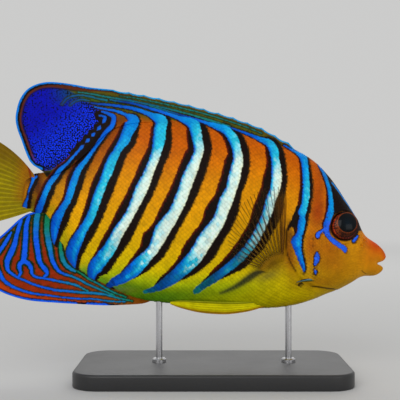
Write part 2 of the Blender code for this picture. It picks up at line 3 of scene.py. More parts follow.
import bpy
import numpy as np
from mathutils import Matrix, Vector


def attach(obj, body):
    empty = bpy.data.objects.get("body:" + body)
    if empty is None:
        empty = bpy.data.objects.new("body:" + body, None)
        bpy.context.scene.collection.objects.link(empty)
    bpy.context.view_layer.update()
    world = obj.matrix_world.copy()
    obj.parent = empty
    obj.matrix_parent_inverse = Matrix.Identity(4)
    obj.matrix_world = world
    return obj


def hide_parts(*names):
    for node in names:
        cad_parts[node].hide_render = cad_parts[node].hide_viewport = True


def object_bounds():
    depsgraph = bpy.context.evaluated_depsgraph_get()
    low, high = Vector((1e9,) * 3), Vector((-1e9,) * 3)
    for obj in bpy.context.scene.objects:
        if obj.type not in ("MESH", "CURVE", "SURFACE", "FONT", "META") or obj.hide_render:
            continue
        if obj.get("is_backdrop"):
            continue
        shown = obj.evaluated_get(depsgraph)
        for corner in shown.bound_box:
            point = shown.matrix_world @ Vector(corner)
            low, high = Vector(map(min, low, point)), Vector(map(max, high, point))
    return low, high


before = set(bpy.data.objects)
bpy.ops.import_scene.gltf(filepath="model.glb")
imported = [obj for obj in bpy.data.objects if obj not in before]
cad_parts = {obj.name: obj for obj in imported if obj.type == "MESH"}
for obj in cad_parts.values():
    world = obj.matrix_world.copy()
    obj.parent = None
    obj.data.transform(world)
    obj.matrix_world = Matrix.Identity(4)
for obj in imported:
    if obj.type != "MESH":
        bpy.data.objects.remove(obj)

cad_box = [list(corner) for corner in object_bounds()]

# Studio
# A pale floor that fades into a pale surround, a broad soft light over the camera's side, and the
# camera square to the fish's right flank. None of this is part of the model.
MM = 0.001
PHOTO_PIXEL = 200.0 / 432.0
PHOTO_ZERO = (169.6, 376.8)
PHOTO_SIDE = 400
CAMERA_REACH = 420.0
LOOK_AT = (
    (PHOTO_SIDE / 2 - PHOTO_ZERO[0]) * PHOTO_PIXEL, 0.0, (PHOTO_ZERO[1] - PHOTO_SIDE / 2) * PHOTO_PIXEL,
)
SENSOR = 36.0
SURROUND = (0.60, 0.60, 0.595)
FLOOR_SIDE = 12.0
FADE_NEAR, FADE_FAR = 0.25, 1.6
LIGHT_AIM = (0.0, 0.0, 0.08)
LIGHTS = {
    "key": ((-0.35, -0.92, 0.58), 3.8, 0.7), "fill": ((0.65, -0.80, 0.10), 1.6, 0.6),
    "back": ((0.1, 0.8, 0.7), 2.6, 0.7),
}


def link(thing):
    bpy.context.scene.collection.objects.link(thing)
    return thing


def new_material(name):
    """A material with nodes, its Principled shader and its node tree."""
    made = bpy.data.materials.new(name)
    made.use_nodes = True
    tree = made.node_tree
    return made, tree, tree.nodes["Principled BSDF"]


def plug(tree, into, values):
    """Sets a node's inputs, by a link where the value is another node's output."""
    for name, value in values.items():
        if isinstance(value, bpy.types.NodeSocket):
            tree.links.new(value, into.inputs[name])
        else:
            into.inputs[name].default_value = value


def node(tree, kind, values=None, **settings):
    """Adds a node, and sets its properties and its inputs."""
    made = tree.nodes.new(kind)
    for name, value in settings.items():
        setattr(made, name, value)
    plug(tree, made, values or {})
    return made


lens = bpy.data.cameras.new("camera")
lens.sensor_width = SENSOR
lens.lens = SENSOR * CAMERA_REACH / (PHOTO_SIDE * PHOTO_PIXEL)
lens.clip_start = 0.01
camera = link(bpy.data.objects.new("camera", lens))
camera.location = (LOOK_AT[0] * MM, -CAMERA_REACH * MM, LOOK_AT[2] * MM)
camera.rotation_euler = (math.radians(90), 0, 0)
bpy.context.scene.camera = camera
bpy.context.scene.view_settings.view_transform = "Standard"

world = bpy.data.worlds.new("surround")
world.use_nodes = True
world.node_tree.nodes["Background"].inputs["Color"].default_value = (*SURROUND, 1.0)
bpy.context.scene.world = world

bpy.ops.mesh.primitive_plane_add(size=FLOOR_SIDE)
floor = bpy.context.object
floor.name = "floor"
finish, tree, shader = new_material("floor")
place = node(tree, "ShaderNodeTexCoord")
reach = node(tree, "ShaderNodeVectorMath", {0: place.outputs["Object"]}, operation="LENGTH")
fade = node(tree, "ShaderNodeMapRange", {
    "Value": reach.outputs["Value"], "From Min": FADE_NEAR, "From Max": FADE_FAR,
}, interpolation_type="SMOOTHSTEP")
plug(tree, shader, {"Base Color": (*SURROUND, 1.0), "Roughness": 0.9, "Specular IOR Level": 0.1})
glow = node(tree, "ShaderNodeEmission", {"Color": (*SURROUND, 1.0)})
blend = node(tree, "ShaderNodeMixShader", {
    0: fade.outputs["Result"], 1: shader.outputs["BSDF"], 2: glow.outputs["Emission"],
})
plug(tree, tree.nodes["Material Output"], {"Surface": blend.outputs["Shader"]})
floor.data.materials.append(finish)
floor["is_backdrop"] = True

for name, (place, watts, size) in LIGHTS.items():
    lamp = bpy.data.lights.new(name, "AREA")
    lamp.energy = watts
    lamp.size = size
    light = link(bpy.data.objects.new(name, lamp))
    light.location = place
    light.rotation_euler = (Vector(LIGHT_AIM) - Vector(place)).to_track_quat("-Z", "Y").to_euler()

# Skin
# One hide over head, trunk and tail stem, lofted from upright rings: back, keel and breadth at each
# station. The gill cover, orbit, lips and nostrils are worked into it. Scales lie over it.
COAT_DEPTH = 0.28
BACK = [
    (-66.5, 92.0), (-62.8, 94.1), (-57.2, 95.0), (-50.7, 97.1), (-43.3, 101.5), (-35.9, 108.2),
    (-28.5, 115.4), (-20.6, 119.1), (-9.1, 120.3), (4.8, 119.4), (18.7, 117.2), (32.6, 113.8),
    (46.5, 109.4), (58.1, 105.3), (67.3, 99.6), (74.3, 92.2), (79.8, 84.4), (84.0, 77.9),
    (86.9, 72.8), (88.8, 68.4), (90.8, 65.4), (93.3, 63.5), (96.2, 61.3), (98.8, 58.6),
    (100.0, 55.6), (98.2, 53.7), (94.5, 53.1),
]
KEEL = [
    (-68.3, 77.7), (-63.2, 75.8), (-57.7, 73.5), (-51.7, 66.1), (-45.6, 56.9), (-38.2, 48.5),
    (-29.4, 42.0), (-19.3, 37.4), (-8.1, 34.9), (5.7, 33.4), (19.6, 32.5), (32.6, 31.9),
    (45.6, 31.8), (56.7, 33.0), (65.9, 35.6), (72.4, 38.3), (78.0, 40.4), (82.1, 42.5),
    (85.4, 44.4), (87.7, 45.7), (90.0, 46.4), (92.8, 46.5), (95.1, 47.0), (97.4, 48.3),
    (98.6, 50.0), (97.4, 51.6), (94.5, 52.3),
]
BREADTH = [
    1.7, 3.0, 3.9, 4.8, 5.9, 7.1,
    8.3, 9.4, 10.9, 12.2, 13.0, 13.6,
    13.8, 13.5, 12.9, 12.2, 11.4, 10.4,
    9.2, 8.1, 7.1, 6.0, 4.9, 3.9,
    3.1, 2.5, 1.8,
]
LAG = [0.0] * 21 + [0.4, 1.6, 3.1, 3.6, 2.4, 0.7]
LAG_POWER = 4
TAIL_POWERS, TRUNK_POWERS, HEAD_POWERS = (0.78, 0.78), (0.54, 0.66), (0.5, 0.54)
TRUNK_STATION, HEAD_STATION, LAST_STATION = 8, 17, 26
GILL = [
    (66.5, 120.0), (65.0, 102.0), (62.6, 92.0), (60.4, 84.0), (58.2, 76.5), (55.3, 71.8),
    (53.3, 67.4), (52.7, 62.4), (53.2, 57.4), (55.0, 53.0), (57.6, 49.2), (61.2, 45.6),
    (66.6, 42.9), (74.3, 40.4), (82.0, 34.0), (86.0, 20.0),
]
GILL_STEP, GILL_STEP_REACH, GILL_TOP, GILL_FOOT = 0.8, 5.0, 76.0, 43.0
CREASE_HEIGHT, CREASE_WIDTH = 0.32, 0.7
ORBIT_RIM, ORBIT_RIM_REACH, ORBIT_RIM_WIDTH, SOCKET_DEPTH = 0.75, 0.7, 0.9, 3.2
PIT_DEPTH, PIT_RIM, PIT_RIM_WIDTH = 0.8, 0.22, 0.25
WORKED_FROM = 45
CHEEK_EDGE = [(68.6, 69.0), (67.6, 62.0), (67.4, 55.0), (67.6, 50.0), (68.6, 46.4)]
EYE, EYE_RADIUS = (79.6, 70.0), 6.7
NOSTRILS, NOSTRIL_RADIUS = [(89.0, 63.4), (87.4, 61.2)], 0.62
SKIN_RINGS, SKIN_SIDES = 290, 320
HEAD_RINGS_FROM, HEAD_RINGS_DENSITY, BARE_FACE = 58, 1.9, (20.6, 22.4)


def along(table, place):
    """Smooth values of a table at fractional rows."""
    table = np.asarray(table, float)
    place = np.clip(np.asarray(place, float), 0, len(table) - 1)
    first = np.minimum(place.astype(int), len(table) - 2)
    share = (place - first).reshape(place.shape + (1,) * (table.ndim - 1))
    before, here = table[np.maximum(first - 1, 0)], table[first]
    there, after = table[first + 1], table[np.minimum(first + 2, len(table) - 1)]
    return 0.5 * (
        2 * here + (there - before) * share
        + (2 * before - 5 * here + 4 * there - after) * share**2
        + (3 * here - before - 3 * there + after) * share**3
    )


def evenly(points, count, weight=None):
    """count points at even distances along a smooth curve, or at distances set by a weight."""
    fine = along(points, np.linspace(0, len(points) - 1, 40 * len(points)))
    steps = np.linalg.norm(np.diff(fine[:, :2], axis=0), axis=1)
    if weight is not None:
        steps = steps * weight((fine[1:] + fine[:-1]) / 2)
    distance = np.concatenate([[0], np.cumsum(steps)])
    wanted = np.linspace(0, distance[-1], count)
    return np.stack([np.interp(wanted, distance, fine[:, k]) for k in range(fine.shape[1])], axis=1)


def smooth(low, high, value):
    """0 below low, 1 above high, and an S between."""
    share = np.clip((value - low) / (high - low), 0, 1)
    return share * share * (3 - 2 * share)


def mix(low, high, share):
    return low + (high - low) * share


def ring_powers(station):
    """The outline powers of the rings at some stations, towards the keel and the back."""
    rear = np.clip(station / TRUNK_STATION, 0, 1)
    front = np.clip((station - TRUNK_STATION) / (HEAD_STATION - TRUNK_STATION), 0, 1)
    low = mix(mix(TAIL_POWERS[0], TRUNK_POWERS[0], rear), HEAD_POWERS[0], front)
    high = mix(mix(TAIL_POWERS[1], TRUNK_POWERS[1], rear), HEAD_POWERS[1], front)
    return low, high


def line_distance(points, line):
    """Distance of points from a line of points, and its sign: positive on the line's left."""
    start, end = line[:-1], line[1:]
    step = end - start
    size = (step**2).sum(axis=1)
    size[size == 0] = 1e-9
    rel = points[:, None, :] - start[None]
    share = np.clip((rel * step).sum(axis=2) / size, 0, 1)
    away = rel - share[..., None] * step
    squared = (away**2).sum(axis=2)
    best = squared.argmin(axis=1)
    rows = np.arange(len(points))
    cross = step[best, 0] * rel[rows, best, 1] - step[best, 1] * rel[rows, best, 0]
    return np.sqrt(squared[rows, best]), np.sign(cross), best + share[rows, best]


GILL_LINE = evenly(GILL, 90)
CHEEK_EDGE_LINE = evenly(CHEEK_EDGE, 24)


def relief(flat):
    """How far the hide stands out at (x, z) places of the side view, in millimetres."""
    out = np.zeros(len(flat))
    near = flat[:, 0] > WORKED_FROM
    distance, side, _ = line_distance(flat[near], GILL_LINE)
    ahead = np.where(side > 0, distance, -distance)
    cover = np.exp(-((distance / GILL_STEP_REACH) ** 2)) * smooth(-0.45, 0.15, ahead)
    cover = cover * smooth(GILL_TOP + 6, GILL_TOP, flat[near, 1])
    crease_gap, _, _ = line_distance(flat[near], CHEEK_EDGE_LINE)
    cover = cover + CREASE_HEIGHT * np.exp(-((crease_gap / CREASE_WIDTH) ** 2)) / GILL_STEP
    from_eye = np.linalg.norm(flat[near] - np.array(EYE), axis=1)
    rim = ORBIT_RIM * np.exp(-(((from_eye - EYE_RADIUS - ORBIT_RIM_REACH) / ORBIT_RIM_WIDTH) ** 2))
    socket = -SOCKET_DEPTH * smooth(EYE_RADIUS + 0.1, EYE_RADIUS - 1.0, from_eye)
    pits = np.zeros(near.sum())
    for centre in NOSTRILS:
        radius = np.linalg.norm(flat[near] - np.array(centre), axis=1)
        pits -= PIT_DEPTH * smooth(NOSTRIL_RADIUS, 0.2, radius)
        pits += PIT_RIM * np.exp(-(((radius - NOSTRIL_RADIUS - PIT_RIM_WIDTH) / PIT_RIM_WIDTH) ** 2))
    out[near] = GILL_STEP * cover + rim + socket + pits
    return out


def hide(station, turn, lift=0.0, worked=True):
    """Points of the body's surface at stations and turns (0 at the keel, half a turn at the back)."""
    top, foot = along(BACK, station), along(KEEL, station)
    upright = (top - foot) / np.linalg.norm(top - foot, axis=-1, keepdims=True)
    edge_lift = np.asarray(lift, float)[..., None]
    top, foot = top + upright * edge_lift, foot - upright * edge_lift
    height = (1 - np.cos(turn)) / 2
    low, high = ring_powers(station)
    peak = low / (low + high)
    outline = height**low * (1 - height) ** high / (peak**low * (1 - peak) ** high)
    middle = foot + height[..., None] * (top - foot)
    middle[..., 0] -= along(LAG, station) * np.abs(np.sin(turn)) ** LAG_POWER
    breadth = (along(BREADTH, station) + lift) * outline
    if worked:
        lifted = relief(middle.reshape(-1, 2)).reshape(breadth.shape)
        breadth = np.maximum(breadth + lifted * np.minimum(1, 1.6 * np.abs(np.sin(turn))), 0)
    side = -np.sign(np.round(np.sin(turn), 6))
    return np.stack([middle[..., 0], side * breadth, middle[..., 1]], axis=-1)


def mesh_piece(name, points, quads, finish, triangles=None):
    """A smooth mesh object from points in millimetres."""
    mesh = bpy.data.meshes.new(name)
    points = np.asarray(points, np.float32).reshape(-1, 3) * MM
    quads = np.asarray(quads, np.int32).reshape(-1, 4)
    triangles = np.zeros((0, 3), np.int32) if triangles is None else np.asarray(triangles, np.int32)
    mesh.vertices.add(len(points))
    mesh.vertices.foreach_set("co", points.ravel())
    mesh.loops.add(quads.size + triangles.size)
    mesh.loops.foreach_set("vertex_index", np.concatenate([quads.ravel(), triangles.ravel()]))
    mesh.polygons.add(len(quads) + len(triangles))
    starts = np.concatenate([
        np.arange(len(quads)) * 4, quads.size + np.arange(len(triangles)) * 3,
    ]).astype(np.int32)
    mesh.polygons.foreach_set("loop_start", starts)
    mesh.update(calc_edges=True)
    mesh.validate()
    mesh.shade_smooth()
    mesh.materials.append(finish)
    return link(bpy.data.objects.new(name, mesh))


def grid_quads(rows, columns, wrap=False):
    """Quads of a grid whose points run along the columns first."""
    i, j = np.meshgrid(np.arange(rows - 1), np.arange(columns if wrap else columns - 1), indexing="ij")
    here, beside = i * columns + j, i * columns + (j + 1) % columns
    return np.stack([here, beside, beside + columns, here + columns], axis=-1).reshape(-1, 4)


def lofted(name, rings, ends, finish, flip=False):
    """A closed piece over rings of points. Each end ring closes on a middle point."""
    count, sides = rings.shape[:2]
    here = np.arange(sides)
    after, last = (here + 1) % sides, (count - 1) * sides
    caps = np.concatenate([
        np.stack([np.full(sides, count * sides), after, here], axis=1),
        np.stack([np.full(sides, count * sides + 1), last + here, last + after], axis=1),
    ])
    quads = grid_quads(count, sides, wrap=True)
    if flip:
        quads, caps = quads[:, ::-1], caps[:, ::-1]
    points = np.vstack([rings.reshape(-1, 3), ends])
    return mesh_piece(name, points, quads, finish, caps), points


def rgb(red, green, blue):
    """A colour as seen on a screen, 0 to 255, turned into light."""
    seen = np.array([red, green, blue]) / 255
    return np.where(seen < 0.04, seen / 12.92, ((seen + 0.055) / 1.055) ** 2.4)


# The bars of the flank, traced on the photo. Each row is a height and, across it, where the black
# begins, the blue begins, the blue ends and the black ends, then the tone: 0 teal, 1 petrol, 2 azure,
# 3 sky, 4 cyan, 5 white, for fin lines 6 leaf green, 7 sea green, 8 sea blue, 9 fin azure, and for
# the face 10 violet blue. A bar's thin upper end is given by its middle and its thickness.
PALETTE = np.array([
    rgb(18, 126, 120), rgb(2, 58, 150), rgb(4, 98, 222), rgb(2, 150, 228), rgb(44, 208, 236),
    rgb(232, 255, 243), rgb(24, 130, 56), rgb(18, 136, 104), rgb(14, 124, 190), rgb(12, 92, 240),
    rgb(44, 106, 250),
])
BAR_WHITE = 5
DEEP_TEAL = rgb(16, 92, 108)
CREAM = rgb(240, 236, 186)
# The brown of the painted shade in the head's creases.
CREASE_SHADE_BROWN = rgb(40, 22, 7)
THIN_BORDER = 1.2
STEM_EDGE = [
    (31.6, 168.4, 1.8, 2), (32.6, 174, 3.2, 2.1), (33.4, 179, 3, 2.4), (31.2, 185.3, 2, 2.3),
    (29.4, 189.4, 1.6, 2.2), (28.2, 194.7, 1.4, 2), (27, 200, 2.2, 2), (25.4, 204.7, 3.6, 2),
    (24.7, 210.5, 3.6, 2),
]
STEM_FORK = [(37, 176.2, 2, 2.2), (34, 179, 2.2, 2.3)]
BROKEN_TOP = [
    (99.6, 115.6, 1.6, 2), (105, 117, 2.4, 2.1), (104, 121, 3.0, 2.1), (101.4, 124.4, -0.8, 2),
    (99, 128.2, 3.6, 2.1), (96, 131.4, -0.8, 2), (93, 134.8, 3.4, 2.1), (90.6, 137.2, -0.8, 2.1),
    (87.8, 140.2, 3.6, 2.1), (84.8, 143.4, -0.4, 2.1), (81.7, 147, 3.4, 2.2), (79, 150.2, 1.8, 2.2),
    (75.6, 154, 2.8, 2.2),
]
BARS = [
    ([], [
        (153, 73, 75, 77.6, 82, 2.2), (158, 67, 70.4, 73.6, 79, 2.4), (164, 61, 64.6, 68.6, 74, 2.4),
        (170, 53, 57, 62.6, 68, 2.5), (177, 48, 52, 58.2, 64, 2.7), (183, 43.6, 47.2, 53.2, 59, 2.8),
        (188, 41, 44.6, 51, 57, 2.9), (193, 39, 42.6, 48.4, 54.4, 3), (198, 37, 40.8, 46.6, 52.4, 2.7),
        (204, 34.6, 37.8, 44.6, 50.4, 2.2), (210, 33.4, 35.6, 42.4, 47.6, 2), (214, 33.2, 35, 41, 44, 1.8),
    ]),
    ([(102, 111.5, 1.8, 2), (108, 113.6, 2.8, 2), (113.5, 117, 4.4, 2)], [
        (125, 101, 109.3, 115.3, 117.3, 2.2), (132, 97, 103.5, 109, 111.6, 2.2),
        (140, 91, 98, 102.5, 106, 2.3), (150, 82, 91.5, 95.5, 99.2, 2.4), (160, 75.5, 83.5, 89, 94.6, 2.8),
        (170, 70.5, 75, 82, 88.8, 3), (180, 66, 71, 78, 85.2, 3), (190, 64.2, 67.5, 75, 81.8, 3.05),
        (200, 61.5, 64.5, 71.5, 78.5, 2.9), (210, 55.5, 58, 66, 74, 2.6), (220, 50, 51.5, 62, 70, 2.2),
        (230, 50, 50.5, 58.5, 64.5, 2), (238, 51, 51.5, 56.5, 61, 1.8), (244, 53, 53.5, 54.5, 60, 1.6),
    ]),
    ([
        (95, 107, 1.4, 2), (103, 108.6, 1.8, 2), (112, 110.3, 2.2, 2.2), (120, 112.3, 2.8, 2.4),
        (127, 115.3, 3.8, 2.4),
    ], [
        (120, 125.3, 126.3, 139, 141.3, 2.6), (126, 121.8, 123.8, 137.6, 141.5, 2.8),
        (132, 118, 122, 133.5, 140.5, 3), (140, 113.8, 118.5, 130.5, 138, 3.2),
        (150, 107.3, 113.5, 122.5, 131, 3.4), (160, 102.3, 107, 117.5, 126.6, 3.7),
        (170, 98, 103, 114, 122, 3.8), (180, 93, 99.8, 109, 118.3, 3.95),
        (190, 89, 95.5, 105, 114.8, 4.05), (200, 86.6, 92, 101.5, 110.2, 4),
        (210, 83.6, 89, 98, 106.5, 3.8), (220, 79.5, 84.5, 94, 102.5, 3.4), (230, 75.6, 78, 88, 98, 2.8),
        (240, 69.6, 71.2, 84, 91, 2.3), (250, 65.3, 66.2, 79.5, 85.5, 2), (258, 67, 67.3, 77.5, 82.5, 1.8),
        (268, 74.3, 74.5, 75.5, 80, 1.6),
    ]),
    ([
        (91, 103, 1.4, 1), (100, 104, 1.8, 1.4), (110, 104.9, 2, 1.8), (120, 106.3, 2.6, 2),
        (130, 107.8, 3, 2.2), (140, 110.6, 3.8, 2.4), (150, 114.6, 5, 2.6),
    ], [
        (121, 152.5, 155, 167, 170.5, 3.4), (130, 151, 154.5, 166, 172.5, 3.8),
        (140, 149.5, 153.2, 165.5, 173, 3.8), (150, 147, 152, 162.5, 171.5, 4.2),
        (160, 142, 149, 159, 167, 4.8), (170, 137, 145, 155, 164, 5), (180, 133, 140, 152, 160, 5),
        (190, 128, 134.5, 148, 156, 5), (200, 123.5, 131, 143, 150.5, 5), (210, 117.5, 127, 137.5, 146, 5),
        (220, 111.5, 121, 132.5, 142, 5), (230, 107, 113.5, 126.5, 137.5, 4.9),
        (240, 101.5, 108, 121, 131, 4.6), (250, 95.5, 101, 116.5, 124.5, 3.9),
        (260, 90, 92.5, 109.5, 119, 3), (268, 86.3, 87, 103, 113, 2.2), (275, 87.2, 87.8, 97, 105, 1.8),
        (281, 92, 92.4, 94.5, 98, 1.4),
    ]),
    ([
        (110, 99.6, 1.4, 0.4), (120, 101.3, 1.8, 0.8), (130, 102.8, 2, 1.2), (140, 105.3, 2.2, 1.6),
        (150, 108.3, 2.4, 2), (160, 111.3, 2.8, 2.2), (170, 114.6, 3.2, 2.4), (179, 118, 4.4, 2.6),
    ], [
        (123, 183.5, 186, 198, 203, 3.2), (130, 185.5, 190, 201.5, 208.5, 3.8),
        (140, 187, 192.5, 203, 211.5, 4.2), (150, 187.5, 194.5, 204, 212.5, 4.6),
        (160, 182, 191, 201.5, 210.5, 5), (170, 177.5, 185.5, 198.5, 208, 5),
        (180, 174, 181, 194.5, 204, 5), (190, 170, 178, 190.5, 200, 5), (200, 165, 174, 187.5, 195.5, 5),
        (210, 159, 169.5, 182.5, 190.5, 5), (220, 153, 162, 178, 186, 5), (230, 149, 154, 171.5, 180, 4.9),
        (240, 140.5, 151, 165.5, 174, 4.9), (250, 135.5, 146.5, 159.5, 169, 4.8),
        (258, 130, 137.5, 153.5, 162, 4.3), (264, 125.5, 130, 149, 157, 3.2),
        (270, 120.5, 123.5, 144, 151, 2.4), (277, 112, 114.5, 135, 142, 1.8),
        (282, 104, 105.5, 124, 131, 1.4), (286, 102, 104, 112, 120, 1),
    ]),
    ([
        (150, 105.9, 1.2, 0), (165, 110.3, 1.5, 0.4), (180, 114.9, 1.8, 1), (190, 117.7, 2, 1.6),
        (200, 120.8, 2.4, 2.2), (208, 123.4, 3.4, 2.6),
    ], [
        (129, 213.8, 218, 230.5, 234.5, 3.2), (134, 219, 224, 235.5, 240.5, 3.8),
        (140, 223.6, 228.5, 239.5, 245.5, 4), (150, 227, 232.5, 241.5, 249.5, 4.4),
        (160, 225, 233.5, 243.5, 251, 5), (170, 222.5, 230.5, 242, 250.5, 5),
        (180, 220, 228, 240, 247.5, 5), (190, 216, 225.5, 237, 244, 5), (200, 212.5, 219.5, 234, 243, 5),
        (210, 205.5, 216.5, 229.5, 240, 5), (220, 200, 212.5, 226.5, 236.6, 5),
        (230, 195.5, 204, 221.5, 231.8, 5), (240, 188.5, 196.5, 214.5, 226, 5),
        (250, 181, 191, 208.5, 219.6, 4.9), (258, 174.5, 184.5, 203.5, 213.4, 4.4),
        (265, 170.5, 177.5, 197.5, 207.6, 3.4), (272, 165, 170.5, 189.5, 199.4, 2.6),
        (278, 158, 163.5, 183, 191, 1.8), (284, 146, 155, 174, 179, 1.2), (289, 138, 147, 163, 170, 0.8),
        (292, 136, 139, 150, 158, 0.4),
    ]),
    ([
        (190, 114.6, 1.0, 0), (205, 119.3, 1.1, 0), (220, 124.2, 1.3, 0.6), (236, 129.6, 1.6, 1.8),
        (246, 133.2, 2.2, 2), (254, 136.4, 3, 2.2), (260, 139.2, 4.2, 2.6),
    ], [
        (143, 262, 265, 273.4, 277.5, 3.4), (150, 264.5, 269, 278.5, 284, 3.8),
        (160, 266.5, 271.5, 279.5, 286.5, 4.2), (170, 265, 272, 281.5, 287.5, 4.7),
        (180, 262.5, 271.5, 282, 288, 5), (190, 260.5, 270, 280, 287, 4.9),
        (200, 256.5, 266, 276, 286, 4.7), (210, 252.5, 263.5, 273.5, 284, 4.7),
        (220, 249, 260, 269.5, 280, 4.6), (230, 245, 255, 265, 275, 4.6), (240, 238.5, 249, 260, 270, 4.5),
        (250, 230.5, 241.5, 253, 262.5, 4.2), (260, 221, 231, 244.5, 254, 3.2),
        (270, 211, 219.5, 232.5, 241, 2.8), (280, 199, 205.5, 219.5, 226, 0.9),
        (286, 192, 197, 209, 215, 0.5), (291, 190, 192, 201, 206, 0.2), (294, 192, 193.5, 196, 199, 0),
    ]),
    ([(284, 145.4, 1.2, 2), (291, 149.3, 1.8, 2.4), (297, 152.6, 3, 2.8)], [
        (157, 297.5, 299.5, 306.5, 309, 3), (165, 299.5, 302, 308.5, 311, 3.2),
        (175, 300, 303, 309, 312.5, 3.4), (185, 300, 303.3, 309.8, 314, 3.8),
        (195, 299, 302.5, 310, 313.5, 3.95), (203, 298, 302, 308.5, 312, 3.9),
        (208, 296.5, 300, 307.5, 312, 3.7), (213, 295, 298.2, 306.5, 310.5, 3.6),
        (216.5, 295.5, 300.6, 305.2, 309.5, 3.2), (220, 295, 299, 305.8, 309, 2.8),
        (226, 295, 298, 305, 308, 2.7), (232, 295, 297.3, 303.5, 306.5, 2.6),
        (237, 293, 295, 302.5, 305.5, 2.3), (241, 291.2, 291.5, 302.4, 305, 2.3),
        (246, 292.8, 293, 301.8, 304.2, 2.3), (254, 295.8, 296, 302.4, 304.8, 2.2),
        (262, 299.2, 299.4, 304.4, 306.6, 2.2), (269, 302.4, 302.6, 305.4, 307.2, 2.1),
        (273, 303.8, 304, 304.6, 306, 2),
    ]),
    ([], [
        (164.5, 316.5, 317.4, 319.4, 320.5, 2.4), (170, 319, 320.8, 323.6, 326, 2.7),
        (177, 322.3, 324.0, 327.2, 330, 2.9), (184, 324.5, 326.2, 329.6, 333, 3),
        (191, 326, 328, 331.8, 337, 3.1), (200, 326, 328.8, 333.2, 341, 3.1),
        (207, 326, 328.6, 333.8, 343, 3.1), (213, 325.2, 327.4, 333.4, 336, 3),
        (219, 323.4, 325.6, 331.2, 333.4, 2.6), (225, 321.5, 323.6, 329.4, 331.2, 2.3),
    ]),
    ([], [
        (222, 323, 325, 330.6, 332, 10), (227, 322.4, 323.8, 329, 330.4, 10),
        (231, 323, 324, 329, 330.2, 10), (236, 325.2, 326.2, 331, 332, 10),
        (240.5, 328.8, 329.6, 336, 337.4, 10), (245, 334.6, 335.2, 342.4, 343.6, 10),
        (248.6, 340.2, 340.8, 347.8, 348.8, 10), (251.4, 343, 343.4, 346.8, 347.6, 10),
    ]),
]
HEAD_MARKS = [
    [(325, 229, 2.6, 10), (321.5, 231.6, 2.2, 10), (318.6, 234, 3.6, 10), (318, 237.2, 3, 10)],
    [(357.5, 236, 1.6, 10), (355.6, 238.8, 3, 10), (353.8, 241.4, 2.6, 10)],
    [
        (317, 253, 2, 10), (317.3, 256, 4.4, 10), (317, 260, 4.8, 10), (315.8, 263.5, 3, 10),
        (315, 266, 1.2, 10),
    ],
    [(315, 269.4, 1.4, 10), (315.7, 271.6, 2.2, 10), (316, 274, 1, 10)],
]


def bar_line(thin, rows=(), border=(THIN_BORDER, THIN_BORDER)):
    """A bar as one line: middle (u, v), half its blue, its black behind and ahead, and its tone."""
    line = [(u, v, t / 2, *border, tone) for u, v, t, tone in thin]
    if len(rows):
        heights, outer_rear, rear, front, outer_front, tones = np.array(rows, float).T
        middle = np.stack([(rear + front) / 2, heights], axis=1)
        lean = np.gradient(middle, axis=0)
        square = np.abs(lean[:, 1]) / np.linalg.norm(lean, axis=1)
        sizes = [(front - rear) / 2 * square, (rear - outer_rear) * square, (outer_front - front) * square]
        line += [tuple(row) for row in np.column_stack([middle, *sizes, tones])]
    return along(line, np.linspace(0, len(line) - 1, 5 * len(line)))


def on_photo(x, z):
    """Places of the side view, in millimetres, as places in the photo's frame."""
    return np.stack([PHOTO_ZERO[0] + x / PHOTO_PIXEL, PHOTO_ZERO[1] - z / PHOTO_PIXEL], axis=1)


def seen_place(points):
    """Where the camera sees points of the fish, in the photo's frame. Both flanks are alike."""
    nearer = CAMERA_REACH / (CAMERA_REACH - np.abs(points[:, 1]))
    x = LOOK_AT[0] + (points[:, 0] - LOOK_AT[0]) * nearer
    z = LOOK_AT[2] + (points[:, 2] - LOOK_AT[2]) * nearer
    return on_photo(x, z)


BAR_REACH, BAR_CHUNK, BAR_HALF = 30, 20000, 4.5
SOFT_FRONT = 0.5
FAR_OUT = -50.0
BLACK = rgb(24, 13, 9)
RED_FRINGE, OLIVE_FRINGE = rgb(104, 22, 4), rgb(62, 50, 4)


def bar_tone(tone, half, across, low):
    """A bar's tone at places across it: darkest along its rear, and streaked low down."""
    behind = np.maximum((half + across) * PHOTO_PIXEL, 0)
    broad = np.clip(half / BAR_HALF, 0, 1) * (tone < BAR_WHITE + 0.5)
    tone = tone - broad * (1.9 * np.exp(-((behind / 0.5) ** 1.5)) * smooth(2.4, 4.6, tone))
    tone = tone - broad * 1.1 * np.exp(-behind / 0.8) * smooth(1.2, 2.2, tone)
    streak = np.exp(-(((across / np.maximum(half, 0.5) - 0.3) / 0.36) ** 2))
    return tone + broad * low * 1.1 * streak * smooth(1.0, 1.8, tone) * smooth(4.2, 3.2, tone)


